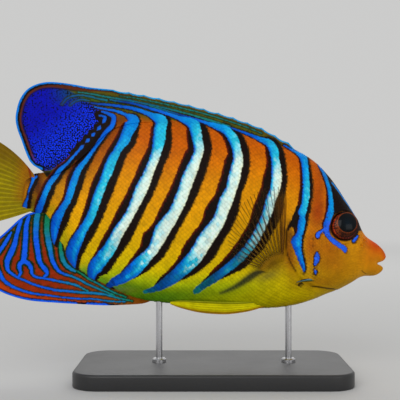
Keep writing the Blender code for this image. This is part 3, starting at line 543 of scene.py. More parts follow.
def lay_bars(seen, lines, paint, fringed=True):
    """Adds bars to the paint: how deep each point lies in blue and in black, and their colours."""
    for line in lines:
        low, high = line[:, :2].min(axis=0) - BAR_REACH, line[:, :2].max(axis=0) + BAR_REACH
        near = np.flatnonzero(((seen > low) & (seen < high)).all(axis=1))
        for part in np.array_split(near, max(1, len(near) // BAR_CHUNK)):
            if not len(part):
                continue
            away, side, place = line_distance(seen[part], line[:, :2])
            first = np.minimum(place.astype(int), len(line) - 2)
            share = (place - first)[:, None]
            half, rear, front, tone = (line[first] * (1 - share) + line[first + 1] * share)[:, 2:].T
            ahead = side < 0
            own_border = np.where(ahead, front, rear)
            blue = (half - away) * PHOTO_PIXEL
            border = (half + own_border - away) * PHOTO_PIXEL
            across = np.where(ahead, away, -away)
            tone = bar_tone(tone, half, across, smooth(212, 236, seen[part, 1]))
            creamy = smooth(1.3, 0.1, (half - across) * PHOTO_PIXEL) * smooth(4.3, 4.9, tone) * 0.75
            creamy = creamy * (tone < BAR_WHITE + 0.5)
            closer = blue > paint["blue"][part]
            for name, value in (("tone", tone), ("cream", creamy), ("blue", blue)):
                paint[name][part] = np.where(closer, value, paint[name][part])
            outer = (border > paint["border"][part])[:, None]
            fringe = smooth(0.75, -0.1, border)[:, None] * np.where(ahead, 0.9, 1.0)[:, None]
            tint = np.where(ahead[:, None], OLIVE_FRINGE, RED_FRINGE)
            edged = mix(BLACK, tint, fringe * smooth(1.2, 2.6, own_border)[:, None])
            paint["edge"][part] = np.where(outer, edged if fringed else BLACK, paint["edge"][part])
            softened = np.where(ahead & (border > -4), border * SOFT_FRONT, border)
            paint["border"][part] = np.maximum(softened, paint["border"][part])
    return paint


def empty_paint(count):
    """No markings yet: everything far outside every bar and line."""
    return {
        "blue": np.full(count, FAR_OUT), "border": np.full(count, FAR_OUT), "tone": np.full(count, 2.0),
        "ground": np.zeros((count, 3)), "edge": np.tile(BLACK, (count, 1)), "mottle": np.zeros(count),
        "cream": np.zeros(count), "wash": np.zeros(count), "tint": np.ones(count), "crease_shade": np.zeros(count),
    }


def blue_over(paint, depth, tone):
    """Lays a blue of some tone where it lies deeper than the blue that is there."""
    paint["tone"] = np.where(depth > paint["blue"], tone, paint["tone"])
    paint["blue"] = np.maximum(paint["blue"], depth)


def edge_over(paint, depth, colour):
    """Lays a border of some colour where it lies deeper than the border that is there."""
    paint["edge"][depth > paint["border"]] = colour
    paint["border"] = np.maximum(paint["border"], depth)


def dab(ground, seen, colour, middle, spread, strength, lean):
    """Rubs a soft patch of a colour over the ground colour."""
    turn = math.radians(lean)
    rel = seen - np.array(middle)
    across = rel[:, 0] * math.cos(turn) + rel[:, 1] * math.sin(turn)
    down = -rel[:, 0] * math.sin(turn) + rel[:, 1] * math.cos(turn)
    share = strength * np.exp(-((across / spread[0]) ** 2) - (down / spread[1]) ** 2)
    return mix(ground, colour, share[:, None])


ORANGE_LADDER = [
    (112, rgb(160, 84, 4)), (128, rgb(190, 88, 3)), (145, rgb(204, 96, 2)), (165, rgb(214, 118, 2)),
    (185, rgb(226, 144, 2)), (205, rgb(234, 158, 2)), (230, rgb(230, 168, 2)), (255, rgb(226, 180, 2)),
    (272, rgb(222, 196, 2)), (286, rgb(176, 194, 10)), (294, rgb(104, 142, 10)),
]
BODY_LINES = [bar_line(thin, rows) for thin, rows in BARS]
BODY_LINES += [bar_line(marks) for marks in HEAD_MARKS + [STEM_FORK]]
BLACK_BACKED = [bar_line(STEM_EDGE, border=(1.0, 4.2)), bar_line(BROKEN_TOP, border=(4.6, 5.0))]
# A painted shadow: the dark wedge in the upper gill opening, laid as black into the hide's colour.
GILL_OPENING_SHADOW = np.array([
    (297.6, 203), (300.6, 210), (299.6, 217), (298.4, 223), (296.6, 229), (295.4, 234), (293.8, 230),
    (292.6, 226), (290.2, 228.2), (287.4, 231.6), (286.6, 229.6), (289.2, 224.6), (292.0, 219),
    (294.2, 212.5), (296, 207),
], float)
HEAD_CAP = np.array([
    (327, 170), (331, 181), (334, 192), (335.5, 205), (334, 214), (338, 224), (362, 232), (372, 226),
    (352, 190), (338, 168),
], float)


def ladder(rungs, place):
    """Colours at places between the rungs of a ladder of colours."""
    heights = [height for height, _ in rungs]
    colours = np.array([colour for _, colour in rungs])
    return np.stack([np.interp(place, heights, colours[:, k]) for k in range(3)], axis=1)


def inside(seen, outline):
    """Distance into a closed outline, negative outside it."""
    closed = np.vstack([outline, outline[:1]])
    away, _, _ = line_distance(seen, closed)
    hits = np.zeros(len(seen), int)
    for (u0, v0), (u1, v1) in zip(closed[:-1], closed[1:]):
        crosses = (v0 > seen[:, 1]) != (v1 > seen[:, 1])
        at = u0 + (seen[:, 1] - v0) * (u1 - u0) / (v1 - v0 if v1 != v0 else 1e-9)
        hits += crosses & (seen[:, 0] < at)
    return np.where(hits % 2 == 1, away, -away)


# Soft patches rubbed over the ground colour: red, green, blue, middle (u, v), spread, strength, lean.
SOFT_PATCHES = [
    (84, 36, 6, 60, 165, 30, 20, 0.95, 0), (112, 52, 6, 104, 130, 16, 22, 0.9, 0),
    (150, 66, 6, 92, 150, 12, 18, 0.6, 0), (84, 36, 6, 38, 186, 9, 26, 0.97, 0),
    (96, 78, 12, 33, 203, 7, 6, 0.9, 0), (40, 96, 24, 31, 211, 7, 4, 0.9, 0),
    (186, 128, 6, 57, 196, 7, 14, 0.7, 0), (170, 150, 8, 51, 210, 7, 5, 0.7, 0),
    (160, 170, 10, 62, 238, 8, 14, 0.6, 0), (70, 140, 30, 62, 254, 5, 9, 0.8, 0),
    (60, 150, 40, 84, 273, 8, 7, 0.8, 0), (90, 170, 30, 99, 282, 8, 6, 0.8, 0),
    (40, 150, 110, 112, 291, 14, 4, 0.8, 0), (120, 70, 10, 124, 291, 18, 3, 0.5, 0),
    (100, 140, 12, 140, 298, 60, 8, 0.9, 0), (74, 132, 18, 155, 299, 34, 6, 0.8, 0),
    (164, 178, 6, 235, 301, 40, 12, 0.9, 0), (206, 186, 2, 285, 291, 46, 24, 0.97, -10),
    # The pale patch at (268, 276) is a painted sheen beside the pectoral fin's root.
    (124, 92, 10, 272, 264, 17, 11, 0.95, -25), (130, 120, 40, 268, 276, 11, 4, 0.7, -20),
    (104, 56, 8, 121, 117, 10, 12, 0.95, 0), (150, 92, 6, 23.5, 190, 3.6, 22, 0.95, 0),
    (60, 26, 6, 30, 177, 8, 9, 0.9, 0), (150, 78, 6, 290, 252, 7, 26, 0.9, -8),
    (196, 160, 2, 300, 303, 40, 7, 0.7, -14), (184, 82, 6, 318, 185, 8, 26, 0.9, 0),
    (166, 62, 6, 318, 213, 12, 22, 0.95, 0), (176, 84, 8, 311, 246, 9, 20, 0.9, 0),
    (112, 66, 10, 290.5, 237, 4.5, 12, 0.85, -6), (172, 104, 10, 338, 262, 34, 24, 0.95, 0),
    (180, 92, 8, 330, 246, 14, 12, 0.7, 0), (168, 112, 6, 322, 282, 26, 9, 0.85, 0),
    (216, 150, 8, 358, 262, 16, 15, 0.85, 0), (196, 104, 8, 372, 256, 14, 16, 0.7, 0),
    (206, 60, 6, 375, 244, 15, 8, 0.9, 38), (196, 64, 12, 386, 256, 5, 9, 0.8, 0),
    (186, 108, 12, 378, 270, 10, 6, 0.6, 0), (120, 56, 10, 326, 172, 7, 9, 0.6, 0),
]


def body_ground(seen):
    """The hide's colour between the bars: orange above, yellow below, ochre on the face."""
    u, v = seen.T
    shift = -24 * smooth(255, 320, u) + 10 * smooth(170, 120, u)
    ground = ladder(ORANGE_LADDER, v + shift)
    for red, green, blue, u, v, wide, tall, strength, lean in SOFT_PATCHES:
        ground = dab(ground, seen, rgb(red, green, blue), (u, v), (wide, tall), strength, lean)
    return ground


# Dark lines painted into the hide's colour: painted shade in the gill opening and along the creases of the
# gill cover, the cheek and the mouth. Each row is a middle (u, v), a thickness and a tone.
SHADED_CREASES = [
    [
        (300, 210.5, 4, 0), (296, 216.5, 5, 0), (292, 221.5, 3.6, 0), (288.4, 226.6, 2.2, 0),
        (286.4, 232, 1.4, 0),
    ],
    [
        (299, 284, 0.9, 0), (306, 286, 1.0, 0), (318, 286.8, 1.0, 0), (330, 288.6, 1.0, 0),
        (342, 289.6, 0.7, 0),
    ],
    [
        (286.2, 232, 1.4, 0), (286.2, 244, 1.1, 0), (287.5, 254, 1.2, 0), (291, 263, 1.2, 0),
        (296, 271.4, 1.0, 0),
    ],
    [(304, 272.4, 0.9, 0), (307, 275.6, 0.7, 0), (311, 278.6, 0.4, 0)],
    [(361.6, 270, 0.3, 0), (363.4, 272.2, 0.5, 0), (366, 273.6, 0.3, 0)],
    [
        (315.6, 226, 0.5, 0), (315.2, 240, 0.6, 0), (315, 256, 0.7, 0), (314.6, 268, 0.7, 0),
        (316, 277, 0.6, 0),
    ],
]
ORBIT_SEEN, ORBIT_REACH = (344.5, 226.2), 15.0
ORBIT_BROWN, SMUDGE_TEAL, DARK_MARK_STRENGTH = rgb(58, 24, 8), rgb(10, 28, 32), 0.92
SMUDGE = [
    (263, 271.5, 2.6, 0), (256, 273.5, 6.5, 0), (248, 278.6, 7, 0), (240, 284, 5.6, 0), (231, 289, 4, 0),
    (220, 293.4, 1.8, 0),
]
CROWN_LINE = [(182, 3.4), (190, 3.3), (197, 3.1), (204, 2.9), (210, 2.7), (218, 2.5)]
CROWN_HALF, CROWN_TONE = 0.8, 2.7
TEAL_WASHES = [((180, 280), (30, 12), 0.55), ((216, 282), (30, 16), 0.7), ((243, 262), (18, 13), 0.8)]


def body_paint(points):
    """All markings of the hide at points of it, with painted shade in the gill opening and along the creases
    of the head.
    """
    seen = seen_place(points)
    paint = lay_bars(seen, BODY_LINES, empty_paint(len(seen)))
    paint = lay_bars(seen, BLACK_BACKED, paint, fringed=False)
    paint["ground"] = body_ground(seen)
    low_end = smooth(266, 288, seen[:, 1]) * smooth(80, 120, seen[:, 0]) * smooth(275, 240, seen[:, 0])
    paint["border"] = paint["border"] - 1.4 * low_end
    for middle, spread, strength in TEAL_WASHES:
        rel = (seen - np.array(middle)) / np.array(spread)
        paint["wash"] = np.maximum(paint["wash"], strength * np.exp(-(rel**2).sum(axis=1)))
    # Painted shadow in the upper gill opening, laid as a black border.
    gill_shadow = np.minimum(inside(seen, GILL_OPENING_SHADOW) * PHOTO_PIXEL, 1.0) + 0.1
    edge_over(paint, gill_shadow, BLACK)
    cap = np.minimum(inside(seen, HEAD_CAP) * PHOTO_PIXEL, 3.0) * 0.7
    paint["edge"][cap > np.minimum(paint["border"], 0.6)] = BLACK
    paint["border"] = np.maximum(paint["border"], cap)
    heights, offsets = zip(*CROWN_LINE)
    crown = CROWN_HALF - np.abs(np.abs(points[:, 1]) - np.interp(seen[:, 1], heights, offsets))
    on_crown = (seen[:, 0] > 331) & (seen[:, 1] > heights[0]) & (seen[:, 1] < heights[-1])
    crown = np.where(on_crown & (cap > -1.4), crown, FAR_OUT)
    blue_over(paint, crown, CROWN_TONE)
    paint["border"] = np.maximum(paint["border"], crown + 0.5)
    # Painted shade along the gill opening and the creases of the head, mixed into the ground colour.
    crease_lines = [bar_line(marks) for marks in SHADED_CREASES]
    lined = lay_bars(seen, crease_lines, empty_paint(len(seen)))
    paint["crease_shade"] = smooth(-0.3, 0.2, lined["blue"]) * DARK_MARK_STRENGTH
    smudge = lay_bars(seen, [bar_line(SMUDGE)], empty_paint(len(seen)))
    soft = smooth(-1.0, 0.9, smudge["blue"])[:, None] * DARK_MARK_STRENGTH
    paint["ground"] = mix(paint["ground"], SMUDGE_TEAL, soft)
    from_eye = np.linalg.norm(seen - np.array(ORBIT_SEEN), axis=1) - ORBIT_REACH
    paint["ground"] = mix(paint["ground"], ORBIT_BROWN, smooth(0.7, -0.3, from_eye)[:, None])
    for name in ("blue", "border"):
        paint[name] = np.minimum(paint[name], from_eye * PHOTO_PIXEL + 0.1)
    return paint


def store(thing, name, values):
    """Stores numbers or colours on a mesh's points, for its material to read."""
    values = np.asarray(values, np.float32)
    if values.ndim == 1:
        thing.data.attributes.new(name, "FLOAT", "POINT").data.foreach_set("value", values)
        return
    full = np.ones((len(values), 4), np.float32)
    full[:, :3] = values
    thing.data.attributes.new(name, "FLOAT_COLOR", "POINT").data.foreach_set("color", full.ravel())


def give_paint(thing, paint):
    """Stores the markings on a mesh."""
    for name in ("blue", "border", "mottle", "tint"):
        store(thing, name, paint[name])
    tone = np.clip(paint["tone"], 0, len(PALETTE) - 1)
    first = np.minimum(tone.astype(int), len(PALETTE) - 2)
    stripe = mix(PALETTE[first], PALETTE[first + 1], (tone - first)[:, None])
    stripe = mix(stripe, CREAM, paint["cream"][:, None])
    # The ground is darkened towards brown where crease shade is painted.
    store(thing, "ground", mix(paint["ground"], CREASE_SHADE_BROWN, paint["crease_shade"][:, None]))
    store(thing, "stripe", mix(stripe, DEEP_TEAL, paint["wash"][:, None]))
    store(thing, "edge", paint["edge"])


def object_place(tree):
    return node(tree, "ShaderNodeTexCoord").outputs["Object"]


def stored(tree, name, output="Fac"):
    """A number or a colour that the mesh carries."""
    return node(tree, "ShaderNodeAttribute", attribute_name=name).outputs[output]


def noise(tree, where, size, detail, roughness=0.5):
    cloud = {"Vector": where, "Scale": size, "Detail": detail, "Roughness": roughness}
    return node(tree, "ShaderNodeTexNoise", cloud).outputs["Fac"]


def ranged(tree, value, start, end, low, high, kind="LINEAR"):
    limits = {"Value": value, "From Min": start, "From Max": end, "To Min": low, "To Max": high}
    return node(tree, "ShaderNodeMapRange", limits, interpolation_type=kind).outputs["Result"]


def faded(tree, value, start, end, low=0.0, high=1.0):
    return ranged(tree, value, start, end, low, high, "SMOOTHSTEP")


def worked_out(tree, operation, first, second=0.0):
    return node(tree, "ShaderNodeMath", {0: first, 1: second}, operation=operation).outputs["Value"]


def blended(tree, share, below, above, mode="MIX"):
    """One colour laid over another. A plain colour is given as red, green and blue."""
    both = [value if isinstance(value, bpy.types.NodeSocket) else (*value, 1.0) for value in (below, above)]
    laid = node(tree, "ShaderNodeMix", {"Factor": share}, data_type="RGBA", blend_type=mode)
    plug(tree, laid, {6: both[0], 7: both[1]})
    return laid.outputs[2]


def shaded(tree, colour, light):
    """A colour made lighter or darker by a number."""
    grey = node(tree, "ShaderNodeCombineColor", {name: light for name in ("Red", "Green", "Blue")})
    return blended(tree, 1.0, colour, grey.outputs["Color"], "MULTIPLY")


def bumpy(tree, shader, height, strength, distance):
    bump = {"Height": height, "Strength": strength, "Distance": distance * MM}
    plug(tree, shader, {"Normal": node(tree, "ShaderNodeBump", bump).outputs["Normal"]})


DOT_SIZE, DOT_GAP = 0.8, rgb(3, 4, 14)
FINE_GRAIN, COARSE_GRAIN, HIDE_GLOSS = 900.0, 260.0, 0.06


def painted_material(name, jag=0.17, jag_size=0.9, grain=0.16, roughness=0.42, bump=0.15):
    """The hide's finish: ground, black and blue with edges broken by the scales, and a wet gloss."""
    made, tree, shader = new_material(name)
    where = object_place(tree)
    fine = noise(tree, where, FINE_GRAIN, 3.0, 0.6)
    patchy = noise(tree, where, COARSE_GRAIN, 4.0, 0.65)
    cells = {"Vector": where, "Scale": 1 / (jag_size * MM), "Randomness": 0.85}
    cells = node(tree, "ShaderNodeTexVoronoi", cells).outputs["Color"]
    shift = ranged(tree, cells, 0.0, 1.0, -jag, jag)
    little = ranged(tree, fine, 0.3, 0.7, -0.5 * jag, 0.5 * jag)
    broken = worked_out(tree, "ADD", shift, little)
    parts = node(tree, "ShaderNodeSeparateXYZ", {"Vector": where})
    beside = node(tree, "ShaderNodeCombineXYZ", {"X": parts.outputs["X"], "Y": parts.outputs["Z"]})
    dots = {"Vector": beside.outputs["Vector"], "Scale": 1 / (DOT_SIZE * MM), "Randomness": 0.75}
    dots = node(tree, "ShaderNodeTexVoronoi", dots, voronoi_dimensions="2D").outputs["Distance"]
    level = ranged(tree, stored(tree, "mottle"), 0.0, 1.0, 1.0, 0.18)
    gap = faded(tree, worked_out(tree, "SUBTRACT", dots, level), -0.06, 0.08)
    colour = blended(tree, gap, stored(tree, "ground", "Color"), DOT_GAP)
    for depth, over, low in (("border", "edge", -0.26), ("blue", "stripe", -0.24)):
        torn = worked_out(tree, "ADD", stored(tree, depth), broken)
        colour = blended(tree, faded(tree, torn, low, 0.26), colour, stored(tree, over, "Color"))
    light = ranged(tree, patchy, 0.3, 0.7, 1 - grain, 1 + grain)
    colour = shaded(tree, colour, worked_out(tree, "MULTIPLY", light, stored(tree, "tint")))
    rough = ranged(tree, patchy, 0.0, 1.0, roughness - 0.08, roughness + 0.1)
    plug(tree, shader, {"Base Color": colour, "Roughness": rough, "Specular IOR Level": HIDE_GLOSS})
    bumpy(tree, shader, fine, bump, 0.1)
    return made


def station_density(places):
    """More rings to the millimetre on the head than on the trunk."""
    return np.where(places[:, 0] > HEAD_RINGS_FROM, HEAD_RINGS_DENSITY, 1.0)


skin_finish = painted_material("scaled_hide")
spine_line = [((b[0] + k[0]) / 2, (b[1] + k[1]) / 2, s) for s, (b, k) in enumerate(zip(BACK, KEEL))]
stations = evenly(spine_line, SKIN_RINGS, station_density)[:, 2]
turns = np.linspace(0, 2 * math.pi, SKIN_SIDES, endpoint=False)
station_grid, turn_grid = np.meshgrid(stations, turns, indexing="ij")
bare = smooth(*BARE_FACE, station_grid)
skin_rings = hide(station_grid, turn_grid, -COAT_DEPTH * (1 - bare))
skin_ends = skin_rings[[0, -1]].mean(axis=1)
skin, skin_points = lofted("skin", skin_rings, skin_ends, skin_finish, flip=True)
give_paint(skin, body_paint(skin_points))
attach(skin, "root")
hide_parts("head", "trunk", "tail_stem")

# Scales
# Thin horny plates in oblique rows, each rooted under the ones ahead of it, its rounded free edge
# towards the tail. They shrink towards the tail and the face, and stop at the lips.
SCALE_PITCH = [
    (-68, 0.62), (-55, 0.86), (-35, 1.08), (-10, 1.24), (40, 1.24), (58, 1.0), (70, 0.78), (95, 0.62),
]
FULL_PITCH, SCALE_TALL, SCALE_OVERLAP = 1.24, 1.72, 2.9
SCALE_RISE, SCALE_DOME, SCALE_THICK, SCALE_SUNK = 0.34, 0.1, 0.09, 0.03
SCALE_PLACE_JITTER, SCALE_LENGTH_JITTER, SCALE_LIFT_JITTER = 0.06, 0.05, 0.025
SCALE_ROWS = [(0.0, 0.5), (0.5, 0.56), (0.82, 0.44), (1.0, 0.17)]
SCALE_ACROSS = [-1.0, -0.4, 0.4, 1.0]
SCALE_WIDEN, SCALE_UV = 1.12, (0.003, 0.0015)
SCALE_OWN_MARKING, SCALE_TONE_JITTER, SCALE_TINT_JITTER = 0.16, 0.12, 0.04
SCALE_MIDDLE_LIGHT, SCALE_EDGE_LIGHT = 1.04, 0.85
LATERAL_LINE, BRIDGE_FROM, BRIDGE_TURN = 0.53 * math.pi, 80, 0.86 * math.pi
EYE_CLEAR, NOSTRIL_CLEAR, GILL_CLEAR, FACE_FRONT = 1.6, 1.7, 2.0, 89.0
COAT_PIECES = 6
rng = np.random.default_rng(7)


def scale_columns():
    """Stations of the columns of scales, one half pitch apart along the lateral line."""
    fine = np.linspace(0.15, 22.5, 3000)
    middle = hide(fine, np.full(len(fine), math.pi / 2), worked=False)[:, 0]
    pitch = np.interp(middle, *zip(*SCALE_PITCH))
    passed = np.concatenate([[0], np.cumsum(np.diff(middle) / pitch[1:])])
    count = int(passed[-1])
    return np.interp(np.arange(count), passed, fine), np.interp(np.arange(count), passed, middle)


column_stations, column_places = scale_columns()
half_turns = np.linspace(0, math.pi, 260)
arc_grid, arc_turns = np.meshgrid(column_stations, half_turns, indexing="ij")
profiles = hide(arc_grid, arc_turns, -COAT_DEPTH, worked=False)
walked = np.cumsum(np.linalg.norm(np.diff(profiles, axis=1), axis=2), axis=1)
arcs = np.concatenate([np.zeros((len(column_stations), 1)), walked], axis=1)
seeds = []
for column, (station, x) in enumerate(zip(column_stations, column_places)):
    tall = np.interp(x, *zip(*SCALE_PITCH)) * SCALE_TALL
    lateral = np.interp(LATERAL_LINE, half_turns, arcs[column])
    first = -int(lateral / tall) - 1
    spots = lateral + (np.arange(first, -first + 60) + (column % 2) / 2) * tall
    spots = spots[(spots > 0.1 * tall) & (spots < arcs[column, -1] - 0.1 * tall)]
    seeds += [(column, spot, tall) for spot in spots]
seeds = np.array(seeds)
columns = seeds[:, 0].astype(int)
scale_turns = np.array([np.interp(spot, arcs[int(c)], half_turns) for c, spot, _ in seeds])
centres = hide(column_stations[columns], scale_turns, 0, worked=False)[:, [0, 2]]
eye_gap = np.linalg.norm(centres - np.array(EYE), axis=1) - EYE_RADIUS
nostril_gap = np.min([np.linalg.norm(centres - np.array(n), axis=1) for n in NOSTRILS], axis=0)
front = FACE_FRONT + 0.25 * (centres[:, 1] - 56)
gill_gap, gill_side, _ = line_distance(centres, GILL_LINE)
gill_gap = np.where(gill_side > 0, gill_gap, -gill_gap)
in_gill = (np.abs(gill_gap) < GILL_CLEAR) & (centres[:, 1] < GILL_TOP + 3) & (centres[:, 1] > GILL_FOOT - 3)
on_bridge = (centres[:, 0] > BRIDGE_FROM) & (scale_turns > BRIDGE_TURN)
kept = (eye_gap > EYE_CLEAR) & (nostril_gap > NOSTRIL_CLEAR) & (centres[:, 0] < front)
kept = kept & ~in_gill & ~on_bridge
seeds, columns, scale_turns = seeds[kept], columns[kept], scale_turns[kept]


def lay_scales(columns, seeds, side):
    """The corners of the scales on one flank, as stations, turns and heights, and their places."""
    drift = rng.normal(0, SCALE_PLACE_JITTER, (len(seeds), 2))
    length_steps = SCALE_OVERLAP * (1 + rng.normal(0, SCALE_LENGTH_JITTER, len(seeds)))
    lift_jitter = rng.normal(0, SCALE_LIFT_JITTER, len(seeds))
    size = seeds[:, 2] / (FULL_PITCH * SCALE_TALL)
    tops, spots = [], []
    for a, half in SCALE_ROWS:
        for b in SCALE_ACROSS:
            at = columns + drift[:, 0] + (0.5 - a) * length_steps
            station = np.interp(at, np.arange(len(column_stations)), column_stations)
            station = np.where(at < 0, column_stations[0] + at * 0.05, station)
            arc = seeds[:, 1] + (b * half * SCALE_WIDEN + drift[:, 1]) * seeds[:, 2]
            turn = np.array([
                np.interp(s, arcs[c], half_turns, left=0, right=math.pi) for c, s in zip(columns, arc)
            ])
            turn = turn + (np.minimum(arc, 0) + np.maximum(arc - arcs[columns, -1], 0)) * 0.1
            rise = SCALE_RISE * a - SCALE_DOME * b * b * (0.4 + 0.6 * a)
            rise = rise * size - SCALE_SUNK + lift_jitter * a
            tops.append((np.clip(station, 0.02, LAST_STATION), side * turn, rise))
            spots.append((a, b))
    return tops, np.array(spots)


def scale_points(tops, drop):
    """Places of the scales' corners, lifted off the hide under each."""
    station, turn, rise = (np.stack([top[k] for top in tops], axis=1) for k in range(3))
    base, out = hide(station, turn, -COAT_DEPTH), hide(station, turn, 1.0 - COAT_DEPTH)
    return base + (out - base) * (rise - drop)[..., None]


across = len(SCALE_ACROSS)
corners = len(SCALE_ROWS) * across
top_quads = grid_quads(len(SCALE_ROWS), across)[:, ::-1]
rim = (
    list(range(across)) + [r * across + across - 1 for r in range(1, len(SCALE_ROWS))]
    + [(len(SCALE_ROWS) - 1) * across + k for k in range(across - 2, -1, -1)]
    + [r * across for r in range(len(SCALE_ROWS) - 2, 0, -1)]
)
walls = [
    (rim[k], rim[(k + 1) % len(rim)], corners + (k + 1) % len(rim), corners + k) for k in range(len(rim))
]
under = [
    (corners + k, corners + k + 1, corners + len(rim) - 2 - k, corners + len(rim) - 1 - k)
    for k in range(len(rim) // 2 - 1)
]
one_scale = np.concatenate([top_quads, walls, under])
coat_finish = painted_material("scales", jag=0.19, jag_size=0.6, bump=0.25)
scale_sets = []
for side in (1, -1):
    tops, spots = lay_scales(columns, seeds, side)
    upper = scale_points(tops, 0.0)
    lower = scale_points([tops[k] for k in rim], SCALE_THICK)
    middle = upper[:, across + 1:across + 3].mean(axis=1)
    paint = body_paint(upper.reshape(-1, 3))
    own = body_paint(middle)
    for name in ("blue", "border"):
        spread = paint[name].reshape(len(seeds), corners)
        shared = (1 - SCALE_OWN_MARKING) * spread + SCALE_OWN_MARKING * own[name][:, None]
        paint[name] = shared.reshape(-1)
    # Each scale takes the painted crease shade at its middle.
    paint["crease_shade"] = np.repeat(own["crease_shade"], corners)
    speckled = smooth(222, 262, seen_place(middle)[:, 1]) * smooth(0.0, 0.4, own["blue"])
    jitter = rng.normal(0, SCALE_TONE_JITTER, (len(seeds), 1)) * np.ones((1, corners))
    shaken = smooth(1.5, 3.0, paint["tone"]) + 1.2 * np.repeat(speckled, corners)
    paint["tone"] = paint["tone"] + jitter.reshape(-1) * shaken
    of_body = paint["tone"] < BAR_WHITE + 0.5
    paint["tone"] = np.where(of_body, np.clip(paint["tone"], 0, BAR_WHITE), paint["tone"])
    scale_sets.append((side, upper, lower, paint, speckled))


def with_rim(values):
    """Values of the upper corners, repeated for the rim's lower corners."""
    shaped = values.reshape(len(seeds), corners, *values.shape[1:])
    return np.concatenate([shaped, shaped[:, rim]], axis=1)


# Each scale is painted a little lighter in its middle and darker along its rim: painted shade between the
# overlapping scales, together with the fine dark dots at their edges.
scale_rim_dots_and_shade = np.array([
    SCALE_MIDDLE_LIGHT if a < 0.9 and abs(b) < 0.9 else SCALE_EDGE_LIGHT for a, b in spots
])
whole = corners + len(rim)
order = np.argsort(columns, kind="stable")
uv_steps = (np.concatenate([spots, spots[rim]]) - np.array([0.5, 0.0])) * np.array(SCALE_UV)
for side, upper, lower, paint, speckled in scale_sets:
    all_points = np.concatenate([upper, lower], axis=1)
    fields = {name: with_rim(paint[name]) for name in paint}
    # The tint is a random tone for each scale, times the painted light and rim shade of its corners.
    shade = 1 + rng.normal(0, SCALE_TINT_JITTER, len(seeds)) * (1 + 1.6 * speckled)
    tint = scale_rim_dots_and_shade[None] * shade[:, None]
    fields["tint"] = with_rim(tint.reshape(-1))
    for number, chosen in enumerate(np.array_split(order, COAT_PIECES // 2)):
        quads = (one_scale[None] + (np.arange(len(chosen)) * whole)[:, None, None]).reshape(-1, 4)
        name = f"scales_{'right' if side > 0 else 'left'}_{number + 1}"
        coat = mesh_piece(name, all_points[chosen], quads[:, ::-side], coat_finish)
        give_paint(coat, {key: value[chosen].reshape(-1, *value.shape[2:]) for key, value in fields.items()})
        share = column_stations[columns[chosen]] / LAST_STATION
        root = np.stack([share, 0.5 + side * scale_turns[chosen] / (2 * math.pi)], axis=1)
        flat = root[:, None] + uv_steps
        layer = coat.data.uv_layers.new(name="OFBake")
        index = np.zeros(len(coat.data.loops), np.int32)
        coat.data.loops.foreach_get("vertex_index", index)
        layer.data.foreach_set("uv", np.clip(flat, 0, 1).reshape(-1, 2)[index].astype(np.float32).ravel())
        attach(coat, "root")
        coat.data.set_sharp_from_angle(angle=math.radians(40))

# Cheek spines
# A stout spine of bone under teal skin grows back from the lower corner of each cheek over the gill
# opening. Its root is sunk in the cheek and its tip is free.
CHEEK_SPINE_ROOT, CHEEK_SPINE_TIP = (68.4, 45.8), (57.2, 44.8)
CHEEK_SPINE_RADIUS, CHEEK_SPINE_BEND, CHEEK_SPINE_TALL = 1.1, 0.5, 1.3
CHEEK_SPINE_SUNK, CHEEK_SPINE_PROUD = 1.1, 2.0
CHEEK_SPINE_RINGS, CHEEK_SPINE_SIDES = 44, 24
# Colours by height round the spine: brown and olive below, teal in the middle with a pale violet-blue
# painted highlight above it, and near black along its top.
CHEEK_SPINE_TONES = [
    (-1.0, rgb(96, 50, 10)), (-0.6, rgb(92, 88, 20)), (-0.2, rgb(44, 92, 70)), (0.15, rgb(56, 104, 104)),
    (0.35, rgb(140, 150, 200)), (0.5, rgb(40, 70, 76)), (0.7, rgb(16, 20, 18)), (1.0, rgb(12, 10, 8)),
]


def flank_reach(x, z):
    """Half the body's breadth at a place on its side."""
    station, turn = np.meshgrid(np.linspace(0, 23, 420), np.linspace(0, math.pi, 220), indexing="ij")
    body = hide(station, turn, worked=False).reshape(-1, 3)
    near = (body[:, 0] - x) ** 2 + (body[:, 2] - z) ** 2
    best = np.argsort(near)[:6]
    weight = 1 / (near[best] + 1e-4)
    return float((np.abs(body[best, 1]) * weight).sum() / weight.sum())


spine_finish = painted_material("spine_skin", grain=0.22, roughness=0.36)
for side, word in ((-1, "right"), (1, "left")):
    foot, tip = (
        np.array((x, side * (flank_reach(x, z) + proud), z))
        for (x, z), proud in ((CHEEK_SPINE_ROOT, -CHEEK_SPINE_SUNK), (CHEEK_SPINE_TIP, CHEEK_SPINE_PROUD))
    )
    axis = (tip - foot) / np.linalg.norm(tip - foot)
    outward = np.cross(axis, (0.0, 0.0, 1.0)) * -side
    outward = outward / np.linalg.norm(outward)
    upward = np.cross(axis, outward) * np.sign(np.cross(axis, outward)[2])
    share = np.linspace(0, 1, CHEEK_SPINE_RINGS)[:, None, None]
    turn = np.linspace(0, 2 * math.pi, CHEEK_SPINE_SIDES, endpoint=False)[None, :, None]
    width = CHEEK_SPINE_RADIUS * np.maximum(1 - share, 0.004) ** 0.75
    middle = foot + (tip - foot) * share + upward * CHEEK_SPINE_BEND * np.sin(math.pi * share)
    groove = 1 - 0.06 * np.cos(6 * turn) * (1 - share)
    rings = middle + width * groove * (outward * np.cos(turn) + upward * CHEEK_SPINE_TALL * np.sin(turn))
    flip = np.dot(np.cross(outward, upward), axis) < 0
    spine, points = lofted(f"cheek_spine_{word}", rings, [foot, tip], spine_finish, flip)
    paint = empty_paint(len(points))
    level = np.append((np.sin(turn) * np.ones_like(share)).ravel(), [0, 0])
    paint["ground"] = ladder(CHEEK_SPINE_TONES, level)
    give_paint(spine, paint)
    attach(spine, "root")

